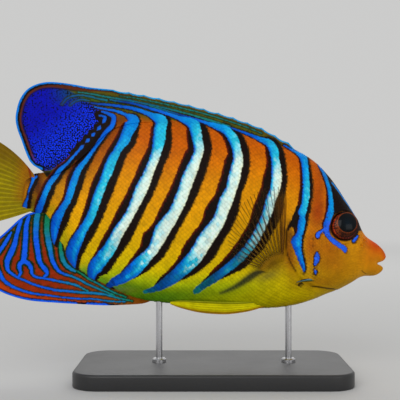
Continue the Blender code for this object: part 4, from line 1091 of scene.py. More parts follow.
# Eyes
# A domed, glossy eye with a large blue-black pupil and a narrow, flecked red-brown iris painted
# on it, set in the orbit and looking a little ahead and up.
EYE_BULGE, EYE_DEPTH, EYE_SEAT, EYE_LOOK = 2.45, 3.0, 0.7, (0.1, 0.14)
PUPIL_RADIUS, PUPIL_SHIFT = 4.4, (1.0, 1.6)
EYE_RINGS, EYE_SPOKES, DOME_EDGE = 46, 96, 0.97
EYE_FLECK, EYE_FLECK_SIZE, EYE_ROUGHNESS, EYE_GLOSS = rgb(22, 8, 5), 1500.0, 0.16, 0.14
IRIS_SHADE, PUPIL_TONE_EDGE, IRIS_TONE_START = 0.14, 4.6, 4.62


def turned(name, profile, spokes, centre, axis, finish):
    """A closed turned piece. Its profile runs from foot to top as (radius, place along the axis)."""
    axis = np.array(axis, float) / np.linalg.norm(axis)
    level = np.cross(axis, (0.0, 0.0, 1.0))
    level = level / np.linalg.norm(level) if np.linalg.norm(level) > 1e-6 else np.array([1.0, 0.0, 0.0])
    rise = np.cross(axis, level)
    turn = np.linspace(0, 2 * math.pi, spokes, endpoint=False)
    spokes_out = np.cos(turn)[:, None] * level + np.sin(turn)[:, None] * rise
    profile, centre = np.array(profile, float), np.array(centre, float)
    rings = centre + profile[:, None, :1] * spokes_out[None] + profile[:, None, 1:] * axis
    return lofted(name, rings, [centre + profile[k, 1] * axis for k in (0, -1)], finish)


eye_finish, tree, shader = new_material("eye")
flecks = faded(tree, noise(tree, object_place(tree), EYE_FLECK_SIZE, 3.0, 0.7), 0.44, 0.58)
flecks = worked_out(tree, "MULTIPLY", flecks, stored(tree, "fleck"))
iris = blended(tree, flecks, stored(tree, "ground", "Color"), EYE_FLECK)
plug(tree, shader, {"Base Color": iris, "Roughness": EYE_ROUGHNESS, "Specular IOR Level": EYE_GLOSS})

# Ring colours out from the pupil's middle. The pupil is painted bluer and lighter at its middle, a painted
# glint, and darkens towards its rim.
EYE_TONES = [
    (0.0, rgb(4, 20, 30)), (1.4, rgb(3, 14, 22)), (3.0, rgb(2, 7, 12)), (4.2, rgb(2, 3, 6)),
    (4.56, rgb(170, 76, 16)), (4.70, rgb(104, 40, 10)), (4.86, rgb(22, 8, 5)), (5.3, rgb(206, 66, 14)),
    (5.8, rgb(132, 44, 12)), (6.1, rgb(16, 7, 5)), (6.4, rgb(60, 24, 8)), (6.58, rgb(140, 58, 14)),
    (6.78, rgb(30, 12, 6)), (8.0, rgb(12, 8, 6)),
]
for side, word in ((-1, "right"), (1, "left")):
    centre = (EYE[0], side * (flank_reach(*EYE) - EYE_SEAT), EYE[1])
    shares = np.sin(np.linspace(0, math.pi / 2, EYE_RINGS - 8))
    dome = [
        (EYE_RADIUS * s, EYE_BULGE * (1 - (s / DOME_EDGE) ** 2.2) ** 0.95 if s < DOME_EDGE else 0.0)
        for s in shares[1:]
    ]
    edge = [(EYE_RADIUS, -0.3), (EYE_RADIUS, -0.9), (EYE_RADIUS, -1.8), (0.98 * EYE_RADIUS, -EYE_DEPTH)]
    profile = [(0.02, EYE_BULGE)] + dome + edge + [(0.02, -EYE_DEPTH)]
    look = (EYE_LOOK[0], side, EYE_LOOK[1])
    eye, points = turned(f"eye_{word}_ball", profile[::-1], EYE_SPOKES, centre, look, eye_finish)
    shape = [points[:, 0] - centre[0], points[:, 2] - centre[2]]
    radius = np.hypot(*shape)
    pupil = np.hypot(shape[0] - PUPIL_SHIFT[0], shape[1] - PUPIL_SHIFT[1])
    rim = PUPIL_RADIUS + 0.3
    seen_radius = np.where(pupil < rim, pupil * PUPIL_TONE_EDGE / rim, np.maximum(radius, IRIS_TONE_START))
    ring_tone = ladder(EYE_TONES, seen_radius)
    # Painted shade: outside the pupil the iris is darkened towards the upper right and stays lit at its left
    # and lower part.
    lit = np.maximum(smooth(-1.2, -4.4, shape[0]), 0.3 * smooth(-3.0, -6.0, shape[1]))
    shade = np.where(pupil > PUPIL_RADIUS + 0.2, mix(IRIS_SHADE, 1, lit), 1.0)
    store(eye, "ground", ring_tone * shade[:, None])
    store(eye, "fleck", 0.9 * (pupil > PUPIL_RADIUS + 0.5))
    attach(eye, "root")
    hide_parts(f"eye_{word}")

# Dorsal fin
# Fourteen stiff spines with an olive web between them run back into soft, branched rays that
# carry a deep blue patch. Its foot is a scaled sheath that grows out of the back.
SPINY_DORSAL_EDGE = [
    (60.4, 103.7), (55.4, 108.2), (50.6, 110.8), (42.8, 115.2), (34.9, 118.2), (26.6, 121.1), (18.2, 123.5),
    (11.3, 125.5), (3.4, 127.3), (-4.0, 128.9), (-11.4, 130.4), (-18.8, 131.7), (-25.9, 132.8),
]
SPINY_DORSAL_ROOT, SPINE_NOTCH, DORSAL_SPINES = (58.6, -18.1), 0.6, 14
DORSAL_SWING = 0.9
SOFT_DORSAL_EDGE = [
    (-25.7, 132.8), (-36.9, 134.0), (-43.8, 135.3), (-50.7, 136.3), (-56.8, 136.5), (-61.9, 135.3),
    (-66.0, 132.8), (-69.0, 128.6), (-70.6, 123.5), (-71.1, 118.9), (-70.2, 114.3), (-68.3, 109.2),
    (-66.5, 104.1), (-64.6, 99.9), (-62.3, 97.5), (-59.4, 96.4),
]
SOFT_DORSAL_ROOT, SOFT_DORSAL_RAYS = (-17.9, -56.5), 18
ROOT_SINK = 2.6
SHEATH_HALF, SHEATH_REACH = 2.1, 2.6
FIN_ROOT_HALF, FIN_EDGE_HALF = 0.5, 0.13
WAVE_ALONG, WAVE_UP = 0.11, 0.05
SPINE_RIDGE, SPINE_WIDTH, RAY_RIDGE = 0.5, 0.1, 0.2


def body_line(line, limits, sink, towards, count=12):
    """Points of the back or the keel between two x limits, sunk towards the middle of the body."""
    stations = np.linspace(0, HEAD_STATION, 700)
    edge, other = along(line, stations), along(towards, stations)
    inward = (other - edge) / np.linalg.norm(other - edge, axis=1, keepdims=True)
    place = edge + inward * sink
    order = np.argsort(edge[:, 0])
    wanted = np.linspace(limits[0], limits[1], count)
    return [tuple(np.interp(x, edge[order, 0], place[order, k]) for k in (0, 1)) for x in wanted]


def fan(root, edge, rays, fine, rows, bow=(0.0, 0.0), notch=0.0):
    """Grid of (x, z) places of a fin, with each column's place among the rays."""
    columns = (rays - 1) * fine + 1
    phase = np.arange(columns) / fine
    start, end = evenly(root, columns), evenly(edge, columns)
    length = np.linalg.norm(end - start, axis=1, keepdims=True)
    between = np.abs(np.sin(math.pi * phase))[:, None] ** 0.8
    end = end - (end - start) / length * notch * between
    out = np.linspace(0, 1, rows)[None, :, None]
    grid = start[:, None] + (end - start)[:, None] * out
    across = np.stack([-(end - start)[:, 1], (end - start)[:, 0]], axis=1) / length
    amount = np.linspace(bow[0], bow[1], columns)[:, None, None]
    return grid + across[:, None] * amount * 4 * out * (1 - out), phase, length[:, 0]


def ray_ridges(phase, out, width=0.16, split_at=0.45, split=0.22):
    """Height of the rays over the web, 0 to 1. Each ray splits in two beyond split_at."""
    near = phase - np.round(phase)
    spread = split * smooth(split_at, 1.0, out)
    left = np.exp(-(((near - spread) / width) ** 2))
    right = np.exp(-(((near + spread) / width) ** 2))
    return np.maximum(left, right)


def fin_mesh(name, middle, half, finish, normal=None):
    """A closed fin from a grid of places in space and its half thickness."""
    columns, rows = half.shape
    if normal is None:
        down, out = np.gradient(middle, axis=0), np.gradient(middle, axis=1)
        normal = np.cross(down, out)
        normal = normal / np.maximum(np.linalg.norm(normal, axis=2, keepdims=True), 1e-9)
    offset = normal * half[..., None]
    points = np.concatenate([(middle - offset).reshape(-1, 3), (middle + offset).reshape(-1, 3)])
    back = columns * rows
    face = grid_quads(columns, rows)
    number = np.arange(back).reshape(columns, rows)
    loop = np.concatenate([number[0], number[1:, -1], number[-1, -2::-1], number[-2:0:-1, 0]])
    after = np.roll(loop, -1)
    rim = np.stack([loop, after, after + back, loop + back], axis=1)
    quads = np.concatenate([face, face[:, ::-1] + back, rim[:, ::-1]])
    made = mesh_piece(name, points, quads, finish)
    corner = middle[columns // 2, rows // 2]
    outward = made.data.polygons[(columns // 2) * (rows - 1) + rows // 2]
    if outward.normal.dot(Vector(points[columns // 2 * rows + rows // 2] - corner)) < 0:
        made.data.flip_normals()
    return made, points


def sway(x, z, out, size):
    """The slight wave of a fin that is held in moving water."""
    return size * out**1.5 * np.sin(x * WAVE_ALONG + z * WAVE_UP)


def median_fin(name, fanned, finish, ridge, sheath=SHEATH_HALF, swing=0.6, **rays):
    """A fin in the fish's middle plane, thick and scaled at its foot."""
    grid, phase, length = fanned
    columns, rows = grid.shape[:2]
    out = np.linspace(0, 1, rows)[None] * np.ones((columns, 1))
    risen = out * length[:, None]
    half = mix(FIN_ROOT_HALF, FIN_EDGE_HALF, out**0.7)
    half = half + ridge * ray_ridges(phase[:, None], out, **rays) * (1 - 0.75 * out) * smooth(0, 0.2, out)
    half = half + sheath * np.exp(-((risen / SHEATH_REACH) ** 1.3)) * (1 - out) ** 0.5
    wave = sway(grid[..., 0], grid[..., 1], out, swing)
    middle = np.stack([grid[..., 0], wave, grid[..., 1]], axis=2)
    normal = np.broadcast_to(np.array([0.0, 1.0, 0.0]), middle.shape)
    return fin_mesh(name, middle, half, finish, normal)


def edge_gap(seen, edge):
    """Millimetres inwards from a fin's outer edge, and how far along it."""
    line = on_photo(*np.asarray(edge, float).T)
    away, _, place = line_distance(seen, line)
    walked = np.concatenate([[0], np.cumsum(np.linalg.norm(np.diff(line, axis=0), axis=1))])
    return away * PHOTO_PIXEL, np.interp(place, np.arange(len(line)), walked) / walked[-1]


def lines_over(seen, lines, paint, edge_colour):
    """Lays coloured lines with dark edges over a fin's paint."""
    drawn = lay_bars(seen, lines, empty_paint(len(seen)))
    edge_over(paint, drawn["border"], edge_colour)
    blue_over(paint, drawn["blue"], drawn["tone"])


BLUE_PATCH = np.array([
    (36, 168), (31, 160), (27, 147), (22.5, 133), (20, 118), (23, 104), (30, 94), (40, 88), (54, 86),
    (64, 88), (76, 94), (88, 102), (97, 109), (107, 115), (104, 121), (99, 128), (93, 135.5), (86, 144),
    (78, 152), (70, 159), (60, 165), (50, 170), (42, 170.5),
], float)
DORSAL_LINES = [
    [
        (62, 104, 1.2, 1), (66, 99, 1.4, 0.9), (72, 96, 1.4, 0.8), (80, 95, 1.5, 0.6),
        (90, 96.4, 1.5, 0.5), (98, 98.6, 1.6, 0.4), (107, 100.4, 1.5, 0.3),
    ],
    [(70, 105, 1.2, 1), (75, 101, 1.4, 0.9), (82, 99.4, 1.4, 0.7), (89, 100.6, 1.3, 0.5)],
    [
        (78, 92, 0.9, 0.1), (90, 93.6, 1.1, 0.1), (104, 96.4, 1.2, 0.1), (116, 98.4, 1.4, 0.2),
        (128, 100.3, 1.6, 0.4), (140, 102.6, 1.6, 0.5), (155, 105.8, 1.6, 0.4), (170, 109.2, 1.5, 0.2),
        (185, 113, 1.5, 0), (200, 117.2, 1.5, 0), (215, 121.6, 1.4, 0), (230, 126.4, 1.3, 0),
    ],
    [
        (120, 96, 0.6, 0), (140, 99, 0.8, 0), (160, 103, 0.9, 0), (180, 107.6, 0.9, 0),
        (200, 112.6, 0.9, 0), (220, 118.4, 0.9, 0), (245, 126.6, 0.8, 0), (262, 133.4, 0.8, 0),
    ],
]
dorsal_lines = [bar_line(marks) for marks in DORSAL_LINES]
LOW_BLUE, HIGH_BLUE, GREEN_BLUE = rgb(4, 12, 178), rgb(10, 58, 255), rgb(10, 66, 96)
EDGE_RUST, EDGE_SEAM, EDGE_BLACK = rgb(94, 38, 9), rgb(8, 6, 24), rgb(6, 6, 10)
LINE_OLIVE = rgb(36, 50, 14)
OLIVE_WEB = [
    (0.0, rgb(96, 70, 10)), (1.3, rgb(92, 78, 10)), (2.6, rgb(88, 86, 10)), (4.6, rgb(70, 92, 14)),
    (7.5, rgb(66, 84, 14)), (11.0, rgb(132, 84, 8)),
]


def dorsal_paint(points):
    """Markings of both parts of the dorsal fin."""
    seen = seen_place(points)
    gap, share = edge_gap(seen, dorsal_edge)
    paint = lay_bars(seen, BODY_LINES, empty_paint(len(seen)))
    paint = lay_bars(seen, BLACK_BACKED, paint, fringed=False)
    rear = smooth(0.5, 0.62, share)
    patch = inside(seen, BLUE_PATCH) * PHOTO_PIXEL
    web = ladder(OLIVE_WEB, gap)
    lower = smooth(9.0, 13.0, gap)[:, None]
    web = mix(web, body_ground(seen), lower)
    coarse = smooth(62, 108, seen[:, 0] * 0.7 + (seen[:, 1] - 80) * 0.9)
    blue = mix(LOW_BLUE, HIGH_BLUE, coarse[:, None])
    greenish = smooth(110, 92, seen[:, 1]) * smooth(44, 74, seen[:, 0])
    blue = mix(blue, GREEN_BLUE, greenish[:, None] * 0.9)
    into = smooth(-0.5, 0.5, patch)[:, None]
    paint["ground"] = mix(web, blue, into)
    shore = smooth(3.4, 0.4, patch) * smooth(100, 122, seen[:, 1] + 0.3 * seen[:, 0])
    paint["mottle"] = into[:, 0] * np.clip(0.5 + 0.24 * coarse + 0.22 * shore, 0, 1)
    lines_over(seen, dorsal_lines, paint, LINE_OLIVE)
    left = smooth(0.64, 0.74, share)
    rust_from = 0.85 + 0.65 * left
    rust_to = 1.4 + 1.3 * smooth(0.55, 0.64, share)
    end = smooth(1.0, 0.94, share)
    rust = smooth(rust_to + 0.3, rust_to - 0.5, gap) * smooth(0.46, 0.56, share) * end
    paint["ground"] = mix(paint["ground"], EDGE_RUST, rust[:, None])
    seam = np.exp(-(((gap - rust_to - 0.1) / 0.4) ** 2)) * smooth(0.58, 0.64, share) * end
    paint["ground"] = mix(paint["ground"], EDGE_SEAM, seam[:, None] * 0.85)
    paint["mottle"] = paint["mottle"] * (1 - rust)
    foot = np.exp(-(((seen - np.array((48, 174))) / np.array((9, 5))) ** 2).sum(axis=1))
    paint["ground"] = mix(paint["ground"], BLACK, foot[:, None])
    paint["blue"] = np.where(rust > 0.5, -3.0, paint["blue"])
    dark = np.where(share > 0.5, rust_from + 0.12 - gap, -3.0)
    edge_over(paint, dark, EDGE_BLACK)
    blue_over(paint, 0.55 + 0.12 * rear - gap, mix(3.2, 2.4, rear))
    return paint


fin_finish = painted_material("finned_skin", jag=0.16, jag_size=0.8, grain=0.18, roughness=0.42, bump=0.25)
root = body_line(BACK, SPINY_DORSAL_ROOT, ROOT_SINK, KEEL)
spiny_fan = fan(root, SPINY_DORSAL_EDGE, DORSAL_SPINES, fine=18, rows=60, notch=SPINE_NOTCH)
root = body_line(BACK, SOFT_DORSAL_ROOT, ROOT_SINK, KEEL)
soft_fan = fan(root, SOFT_DORSAL_EDGE, SOFT_DORSAL_RAYS, fine=14, rows=110)
dorsal_edge = np.concatenate([spiny_fan[0][::2, -1], soft_fan[0][::2, -1]])
spiny_swing = np.interp(spiny_fan[0][..., 0], (SPINY_DORSAL_EDGE[-1][0], 20.0), (DORSAL_SWING, 0.3))
spiny, places = median_fin(
    "dorsal_spiny", spiny_fan, fin_finish, ridge=SPINE_RIDGE, split=0.0, width=SPINE_WIDTH,
    swing=spiny_swing,
)
give_paint(spiny, dorsal_paint(places))
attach(spiny, "root")
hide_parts("dorsal_fin_spiny")
soft, places = median_fin("dorsal_soft", soft_fan, fin_finish, ridge=RAY_RIDGE, swing=DORSAL_SWING)
give_paint(soft, dorsal_paint(places))
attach(soft, "root")
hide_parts("dorsal_fin_soft")

# Anal fin
# Soft rays in rust-red skin, scaled over its front half, with green-edged blue lines that follow
# its outline and run up into the tail stem. It grows out of the keel.
ANAL_EDGE = [
    (-8.2, 35.3), (-12.6, 33.9), (-20.6, 33.4), (-29.9, 33.2), (-41.5, 33.7), (-52.1, 34.2), (-63.7, 35.1),
    (-71.6, 36.9), (-78.5, 39.7), (-84.1, 43.4), (-87.8, 49.0), (-88.2, 55.0), (-84.1, 60.6),
    (-78.5, 65.0), (-73.9, 69.1), (-70.0, 72.7), (-65.8, 75.4), (-61.8, 76.4),
]
ANAL_ROOT, ANAL_RAYS = (-9.6, -57.3), 21
ANAL_LINES = [
    [
        (125, 301.6, 1.6, 8), (110, 301.2, 1.6, 8), (92, 298.9, 1.6, 8.6), (80, 298.8, 1.6, 9),
        (68, 297.9, 1.6, 9), (50, 295.7, 1.8, 9), (31.8, 293.4, 2.5, 9), (16.4, 288.4, 3, 9),
        (9, 284.5, 3.5, 9), (3.6, 280, 4, 9), (0, 274, 4.4, 9), (-4, 264, 4, 9), (-4, 257, 3.6, 9),
        (0, 250.6, 3.4, 9), (3.6, 245.2, 3.4, 9), (7.3, 239, 3.2, 9), (10.9, 232.4, 1.6, 9),
    ],
    [
        (20.9, 220.6, 3, 9), (18.4, 228, 3.6, 9), (16, 237.3, 4, 9), (14.4, 244.5, 4.8, 9),
        (11, 252.7, 5.6, 9), (7.9, 259, 5.2, 9), (6.9, 264.5, 4.4, 9), (8, 270, 3.5, 9),
        (11.8, 273.8, 2.6, 9), (18.2, 277.7, 2.5, 9), (25.5, 281, 2.5, 9), (32.7, 284, 2.5, 9),
        (41, 286.8, 2.5, 9), (50, 289, 2.5, 9), (59, 290.5, 2.5, 8.6), (69, 291.2, 2.5, 8.6),
        (80, 292.3, 2.6, 8), (92, 293, 2.6, 8), (105.5, 294.6, 2.4, 7.8), (118, 298, 2, 7.4),
        (132, 301, 1.6, 7),
    ],
    [
        (29, 216.4, 2.8, 9), (27.3, 221, 3.8, 9), (26, 228, 4.4, 9), (25.6, 237.3, 4.8, 9),
        (25, 246.4, 4.8, 9), (24.2, 255.5, 5.2, 9), (23.4, 260.6, 4.8, 9), (19.8, 264, 3.8, 9),
        (19.4, 268.2, 3.8, 9), (20.6, 272.7, 3.2, 9), (19, 276.4, 2.8, 9),
    ],
    [
        (23.4, 260.6, 4.6, 9), (27.6, 263, 3.9, 9), (31.2, 268.2, 3.7, 9), (31.8, 273.2, 3, 9),
        (35.5, 276.8, 2.5, 9), (43.6, 278.3, 2.4, 9), (51, 279.6, 2.4, 9), (59, 281.4, 2.4, 8.6),
        (67.3, 282.8, 2.4, 8), (74.5, 284.6, 2.4, 8), (80, 286.9, 2.2, 7.7), (88, 291.4, 1.8, 7.4),
    ],
    [
        (37.6, 215.4, 5.6, 7.7), (36.4, 221.8, 5.2, 8), (35.9, 232.7, 4.8, 8.6), (36.4, 241.8, 4.8, 9),
        (37.7, 251, 4.8, 9), (39.2, 260, 4.3, 9), (42, 265.7, 3.9, 9), (45.9, 270, 4.4, 9),
        (46.8, 273.8, 3.4, 9), (44, 277, 2.4, 9),
    ],
    [
        (47.6, 216.4, 5.2, 6.4), (46.8, 225.5, 5, 7), (47.3, 233.6, 5, 7.4), (48.6, 241.8, 5, 8),
        (50, 249, 4.6, 8), (51.6, 257.3, 4, 8.6), (53.8, 263.6, 3.5, 9), (58.2, 270.4, 3, 9),
        (63.6, 273.8, 2.5, 9), (71, 276.1, 2.4, 8), (77.3, 278.6, 2.4, 8), (87, 283.8, 2.3, 7.8),
        (96, 287.9, 2.2, 7.6), (105.5, 291.6, 2, 7.4), (114.5, 295.6, 1.8, 7),
    ],
    [
        (61, 237.3, 1.2, 6.6), (60.5, 246.4, 2.8, 6.8), (61.4, 253.6, 3.8, 7.2), (63, 260, 4, 7.5),
        (66.6, 265.5, 3.6, 7.8), (71, 269, 3, 8), (75, 271.4, 2.2, 8),
    ],
    [
        (74, 269.4, 1, 7), (82, 274, 1.8, 7), (88, 278.4, 2, 7.2), (97, 283.2, 2, 7.4),
        (106, 288.4, 2, 7.4), (115, 293, 1.8, 7.2), (126, 297, 1.4, 7),
    ],
]
ANAL_BORDER, ANAL_EDGING = (2.0, 2.4), rgb(8, 44, 12)
REAR_RUST, FRONT_RUST = rgb(150, 44, 4), rgb(120, 76, 8)
LOW_RUST, HIGH_RUST = rgb(186, 62, 4), rgb(112, 58, 8)
ROOT_GREEN, RIM_BROWN, ANAL_BLACK = rgb(44, 78, 18), rgb(106, 72, 6), rgb(10, 14, 20)
anal_lines = [bar_line(marks, border=ANAL_BORDER) for marks in ANAL_LINES]
for line in anal_lines:
    low = smooth(264, 282, line[:, 1])
    line[:, 2] *= 1 - 0.2 * low
    line[:, 3:5] *= 1 - 0.5 * low[:, None]
BODY_EDGE = np.array([
    (48, 205), (50.4, 214), (50.7, 225), (51.3, 235), (53, 243), (57, 246.2), (60, 243), (63, 246),
    (67, 256), (71, 263), (76, 268), (88, 275.4), (101, 282), (112, 287.6), (125, 292), (150, 297),
    (190, 301), (240, 280), (240, 190), (100, 150),
], float)


def anal_paint(points):
    """Markings of the anal fin."""
    seen = seen_place(points)
    gap, share = edge_gap(seen, evenly(ANAL_EDGE, 160))
    on_body = inside(seen, BODY_EDGE) * PHOTO_PIXEL
    body = lay_bars(seen, BODY_LINES, empty_paint(len(seen)))
    body = lay_bars(seen, BLACK_BACKED, body, fringed=False)
    for name in ("blue", "border"):
        body[name] = np.where(on_body > -0.6, body[name], FAR_OUT)
    front = smooth(60, 130, seen[:, 0])[:, None]
    rust = mix(REAR_RUST, FRONT_RUST, front)
    lower = smooth(4.6, 2.4, gap)[:, None] * smooth(262, 276, seen[:, 1])[:, None]
    rust = mix(rust, LOW_RUST, lower * (1 - 0.8 * front))
    upper = smooth(256, 222, seen[:, 1])[:, None]
    rust = mix(rust, HIGH_RUST, upper * 0.85)
    root = smooth(222, 213, seen[:, 1])[:, None]
    rust = mix(rust, ROOT_GREEN, root * 0.85)
    rim_band = smooth(2.9, 2.3, gap)[:, None] * smooth(246, 232, seen[:, 1])[:, None]
    rust = mix(rust, RIM_BROWN, rim_band)
    body["ground"] = mix(rust, body_ground(seen), smooth(-0.3, 0.3, on_body)[:, None])
    free = empty_paint(len(seen))
    lines_over(seen, anal_lines, free, ANAL_EDGING)
    for name in ("blue", "border"):
        free[name] = np.where(on_body < 0.6, free[name], FAR_OUT)
    blue_over(body, free["blue"], free["tone"])
    edge_over(body, free["border"], ANAL_EDGING)
    rear = smooth(0.05, 0.16, share)
    broken = smooth(6, 3, np.abs(seen[:, 0] - 81.5)) + smooth(6, 3, np.abs(seen[:, 0] - 112))
    margin = (0.8 - 0.9 * broken - gap) * rear - 3 * (1 - rear)
    dark = (1.3 - 0.5 * broken - gap) * rear - 3 * (1 - rear)
    edge_over(body, dark, ANAL_BLACK)
    blue_over(body, margin, 9)
    return body


root = body_line(KEEL, ANAL_ROOT, ROOT_SINK, BACK)
anal_fan = fan(root, ANAL_EDGE, ANAL_RAYS, fine=12, rows=110)
anal, places = median_fin("anal", anal_fan, fin_finish, ridge=0.22, swing=0.8)
give_paint(anal, anal_paint(places))
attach(anal, "root")
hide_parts("anal_fin")

# Tail fin
# Seventeen branched rays in thin yellow skin, spread as a blunt fan from the end of the tail stem
# and swung a little to one side, as in moving water.
CAUDAL_ROOT = [(-62.4, 93.0), (-62.0, 85.0), (-63.2, 77.0)]
CAUDAL_EDGE = [(-96.1, 115.2), (-98.6, 106.5), (-100.0, 92.0), (-99.4, 78.6), (-97.0, 68.4)]
CAUDAL_BOW, CAUDAL_RAYS, CAUDAL_FINE, CAUDAL_ROWS = (-4.2, 0.9), 17, 16, 90
CAUDAL_FORK, CAUDAL_SPLIT = 0.12, 0.25
TAIL_WEB, TAIL_RAY, TAIL_EDGE = rgb(134, 118, 4), rgb(166, 148, 4), rgb(180, 164, 12)
TAIL_BROWN, TAIL_ORANGE, TAIL_RED = rgb(112, 82, 4), rgb(160, 88, 4), rgb(126, 30, 4)
TAIL_FOOT = [
    (26, 160, 1.6, 0), (28.8, 167.6, 1.6, 0), (30.6, 177.6, 1.4, 0), (28.6, 185.3, 1.4, 0),
    (25.4, 193, 1.4, 0), (24.4, 200, 1.4, 0), (22.6, 206, 1.2, 0),
]


def tail_paint(points, phase, out):
    """Yellow skin with paler rays, browner at its top and at its foot."""
    seen = seen_place(points)
    paint = empty_paint(len(seen))
    ray = ray_ridges(phase, out, width=0.13, split_at=CAUDAL_FORK, split=CAUDAL_SPLIT)
    yellow = mix(TAIL_WEB, TAIL_RAY, ray[:, None])
    yellow = mix(yellow, TAIL_EDGE, smooth(0.5, 1.0, out)[:, None] * 0.6)
    top = smooth(186, 156, seen[:, 1] + 0.25 * (30 - seen[:, 0]))[:, None]
    yellow = mix(yellow, TAIL_BROWN, top * 0.85)
    foot = smooth(0.34, 0.1, out)[:, None] * smooth(206, 196, seen[:, 1])[:, None]
    yellow = mix(yellow, TAIL_ORANGE, foot * 0.7)
    line = lay_bars(seen, [bar_line(TAIL_FOOT)], empty_paint(len(seen)))
    yellow = mix(yellow, TAIL_RED, smooth(-0.5, 0.3, line["blue"])[:, None] * 0.9)
    paint["ground"] = yellow
    return paint


fanned = fan(CAUDAL_ROOT, CAUDAL_EDGE, CAUDAL_RAYS, CAUDAL_FINE, CAUDAL_ROWS, bow=CAUDAL_BOW)
tail_fin, places = median_fin(
    "tail", fanned, fin_finish, ridge=RAY_RIDGE, sheath=0.9, swing=0.9,
    width=0.12, split_at=CAUDAL_FORK, split=CAUDAL_SPLIT,
)
out = np.tile(np.linspace(0, 1, CAUDAL_ROWS), 2 * len(fanned[1]))
give_paint(tail_fin, tail_paint(places, np.tile(np.repeat(fanned[1], CAUDAL_ROWS), 2), out))
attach(tail_fin, "root")
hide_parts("tail_fin")

# Pectoral fins
# Clear skin on fifteen dark-edged yellow rays, fanned up and back from a fleshy olive root behind
# the gill cover. The flank shows through between the rays.
PECTORAL_RAYS = 15
PECTORAL_CENTRE, PECTORAL_ROOT_REACH = (51.2, 46.9), 5.0
PECTORAL_REACH = [
    (91.5, 38.8), (88.0, 40.4), (82.0, 41.0), (75.0, 40.6), (66.0, 39.2), (56.0, 36.8), (46.0, 33.8),
    (37.0, 31.0), (30.0, 28.2), (24.0, 24.6), (20.0, 20.4),
]
PECTORAL_SINK, PECTORAL_FLARE = 1.6, math.radians(20)
PECTORAL_FINE, PECTORAL_ROWS = 16, 80
PECTORAL_HALF, PECTORAL_RIDGE, PECTORAL_ROOT_HALF, PECTORAL_WAVE = (0.42, 0.09), 0.14, 0.3, 0.5
CLEAR_WEB, CLEAR_RAY, RAY_EDGE = rgb(104, 82, 20), rgb(176, 132, 30), rgb(58, 32, 6)
FRONT_ORANGE, ROOT_OLIVE = rgb(140, 78, 12), rgb(140, 92, 12)

clear_finish, tree, shader = new_material("clear_fin")


def maths(operation, *values):
    return worked_out(tree, operation, *values)


def off_whole(value):
    """Distance of a number from the nearest whole one."""
    return maths("ABSOLUTE", maths("SUBTRACT", value, maths("ROUND", value)))


ray, fork, tip, front, flesh = (stored(tree, key) for key in ("ray", "fork", "tip", "front", "flesh"))
from_branch = maths("ABSOLUTE", maths("SUBTRACT", off_whole(ray), fork))
inner = maths("SUBTRACT", 1.0, tip)
from_edge = maths("ABSOLUTE", maths("SUBTRACT", from_branch, maths("MULTIPLY", inner, 0.16)))
dark_edge = faded(tree, maths("DIVIDE", from_edge, faded(tree, tip, 0.0, 1.0, 0.12, 0.06)), 1.0, 0.35)
core = maths("MULTIPLY", faded(tree, from_branch, 0.14, 0.05), inner)
strand = faded(tree, off_whole(maths("MULTIPLY", ray, 3.0)), 0.3, 0.1)
front_strand = maths("MULTIPLY", strand, front)
dark = maths("MAXIMUM", dark_edge, maths("MULTIPLY", front_strand, 0.8))
colour = blended(tree, core, CLEAR_WEB, CLEAR_RAY)
colour = blended(tree, maths("MULTIPLY", front, 0.8), colour, FRONT_ORANGE)
colour = blended(tree, dark, colour, RAY_EDGE)
colour = blended(tree, flesh, colour, stored(tree, "ground", "Color"))
cover = maths("ADD", maths("MULTIPLY", core, 0.34), maths("MULTIPLY", front, 0.3))
cover = maths("ADD", cover, maths("MULTIPLY", front_strand, 0.35))
cover = maths("MAXIMUM", cover, maths("MULTIPLY", dark_edge, faded(tree, tip, 0.3, 1.0, 0.9, 0.55)))
cover = maths("MAXIMUM", maths("ADD", cover, 0.015), flesh)
grain = faded(tree, noise(tree, object_place(tree), 700.0, 3.0), 0.3, 0.7, 0.85, 1.12)
plug(tree, shader, {
    "Base Color": shaded(tree, colour, grain), "Alpha": cover, "Roughness": 0.4, "Specular IOR Level": 0.08,
})


def from_centre(degrees, reach):
    """A place on the flank at a direction and distance from the fin's centre."""
    turn = math.radians(degrees)
    return PECTORAL_CENTRE[0] - reach * math.cos(turn), PECTORAL_CENTRE[1] + reach * math.sin(turn)


pectoral_root = [from_centre(degrees, PECTORAL_ROOT_REACH) for degrees, _ in PECTORAL_REACH]
pectoral_edge = [from_centre(degrees, reach) for degrees, reach in PECTORAL_REACH]
grid, phase, length = fan(pectoral_root, pectoral_edge, PECTORAL_RAYS, PECTORAL_FINE, PECTORAL_ROWS)
out = np.linspace(0, 1, PECTORAL_ROWS)[None] * np.ones((len(phase), 1))
distance = np.linalg.norm(grid - grid[:, :1], axis=2)
seat = np.array([flank_reach(x, z) for x, z in evenly(pectoral_root, 12)])
seat = np.interp(np.linspace(0, 11, len(phase)), np.arange(12), seat)[:, None] - PECTORAL_SINK
away = seat + PECTORAL_SINK * smooth(0, 6, distance) + distance * math.sin(PECTORAL_FLARE)
away = away + PECTORAL_WAVE * out**2 * np.sin(phase * 0.9)[:, None]
ridge = ray_ridges(phase[:, None], out, width=0.13, split_at=0.5, split=0.25)
half = mix(*PECTORAL_HALF, out**0.6) + PECTORAL_RIDGE * ridge * (1 - 0.6 * out)
half = half + PECTORAL_ROOT_HALF * np.exp(-((distance / 4.0) ** 2))
fields = {
    "ray": phase[:, None] * np.ones_like(out), "fork": 0.25 * smooth(0.5, 1.0, out),
    "tip": smooth(0.4, 0.75, out), "flesh": smooth(7.6, 4.8, distance),
    "front": smooth(2.3, 0.6, phase)[:, None] * smooth(1.0, 0.75, out),
}
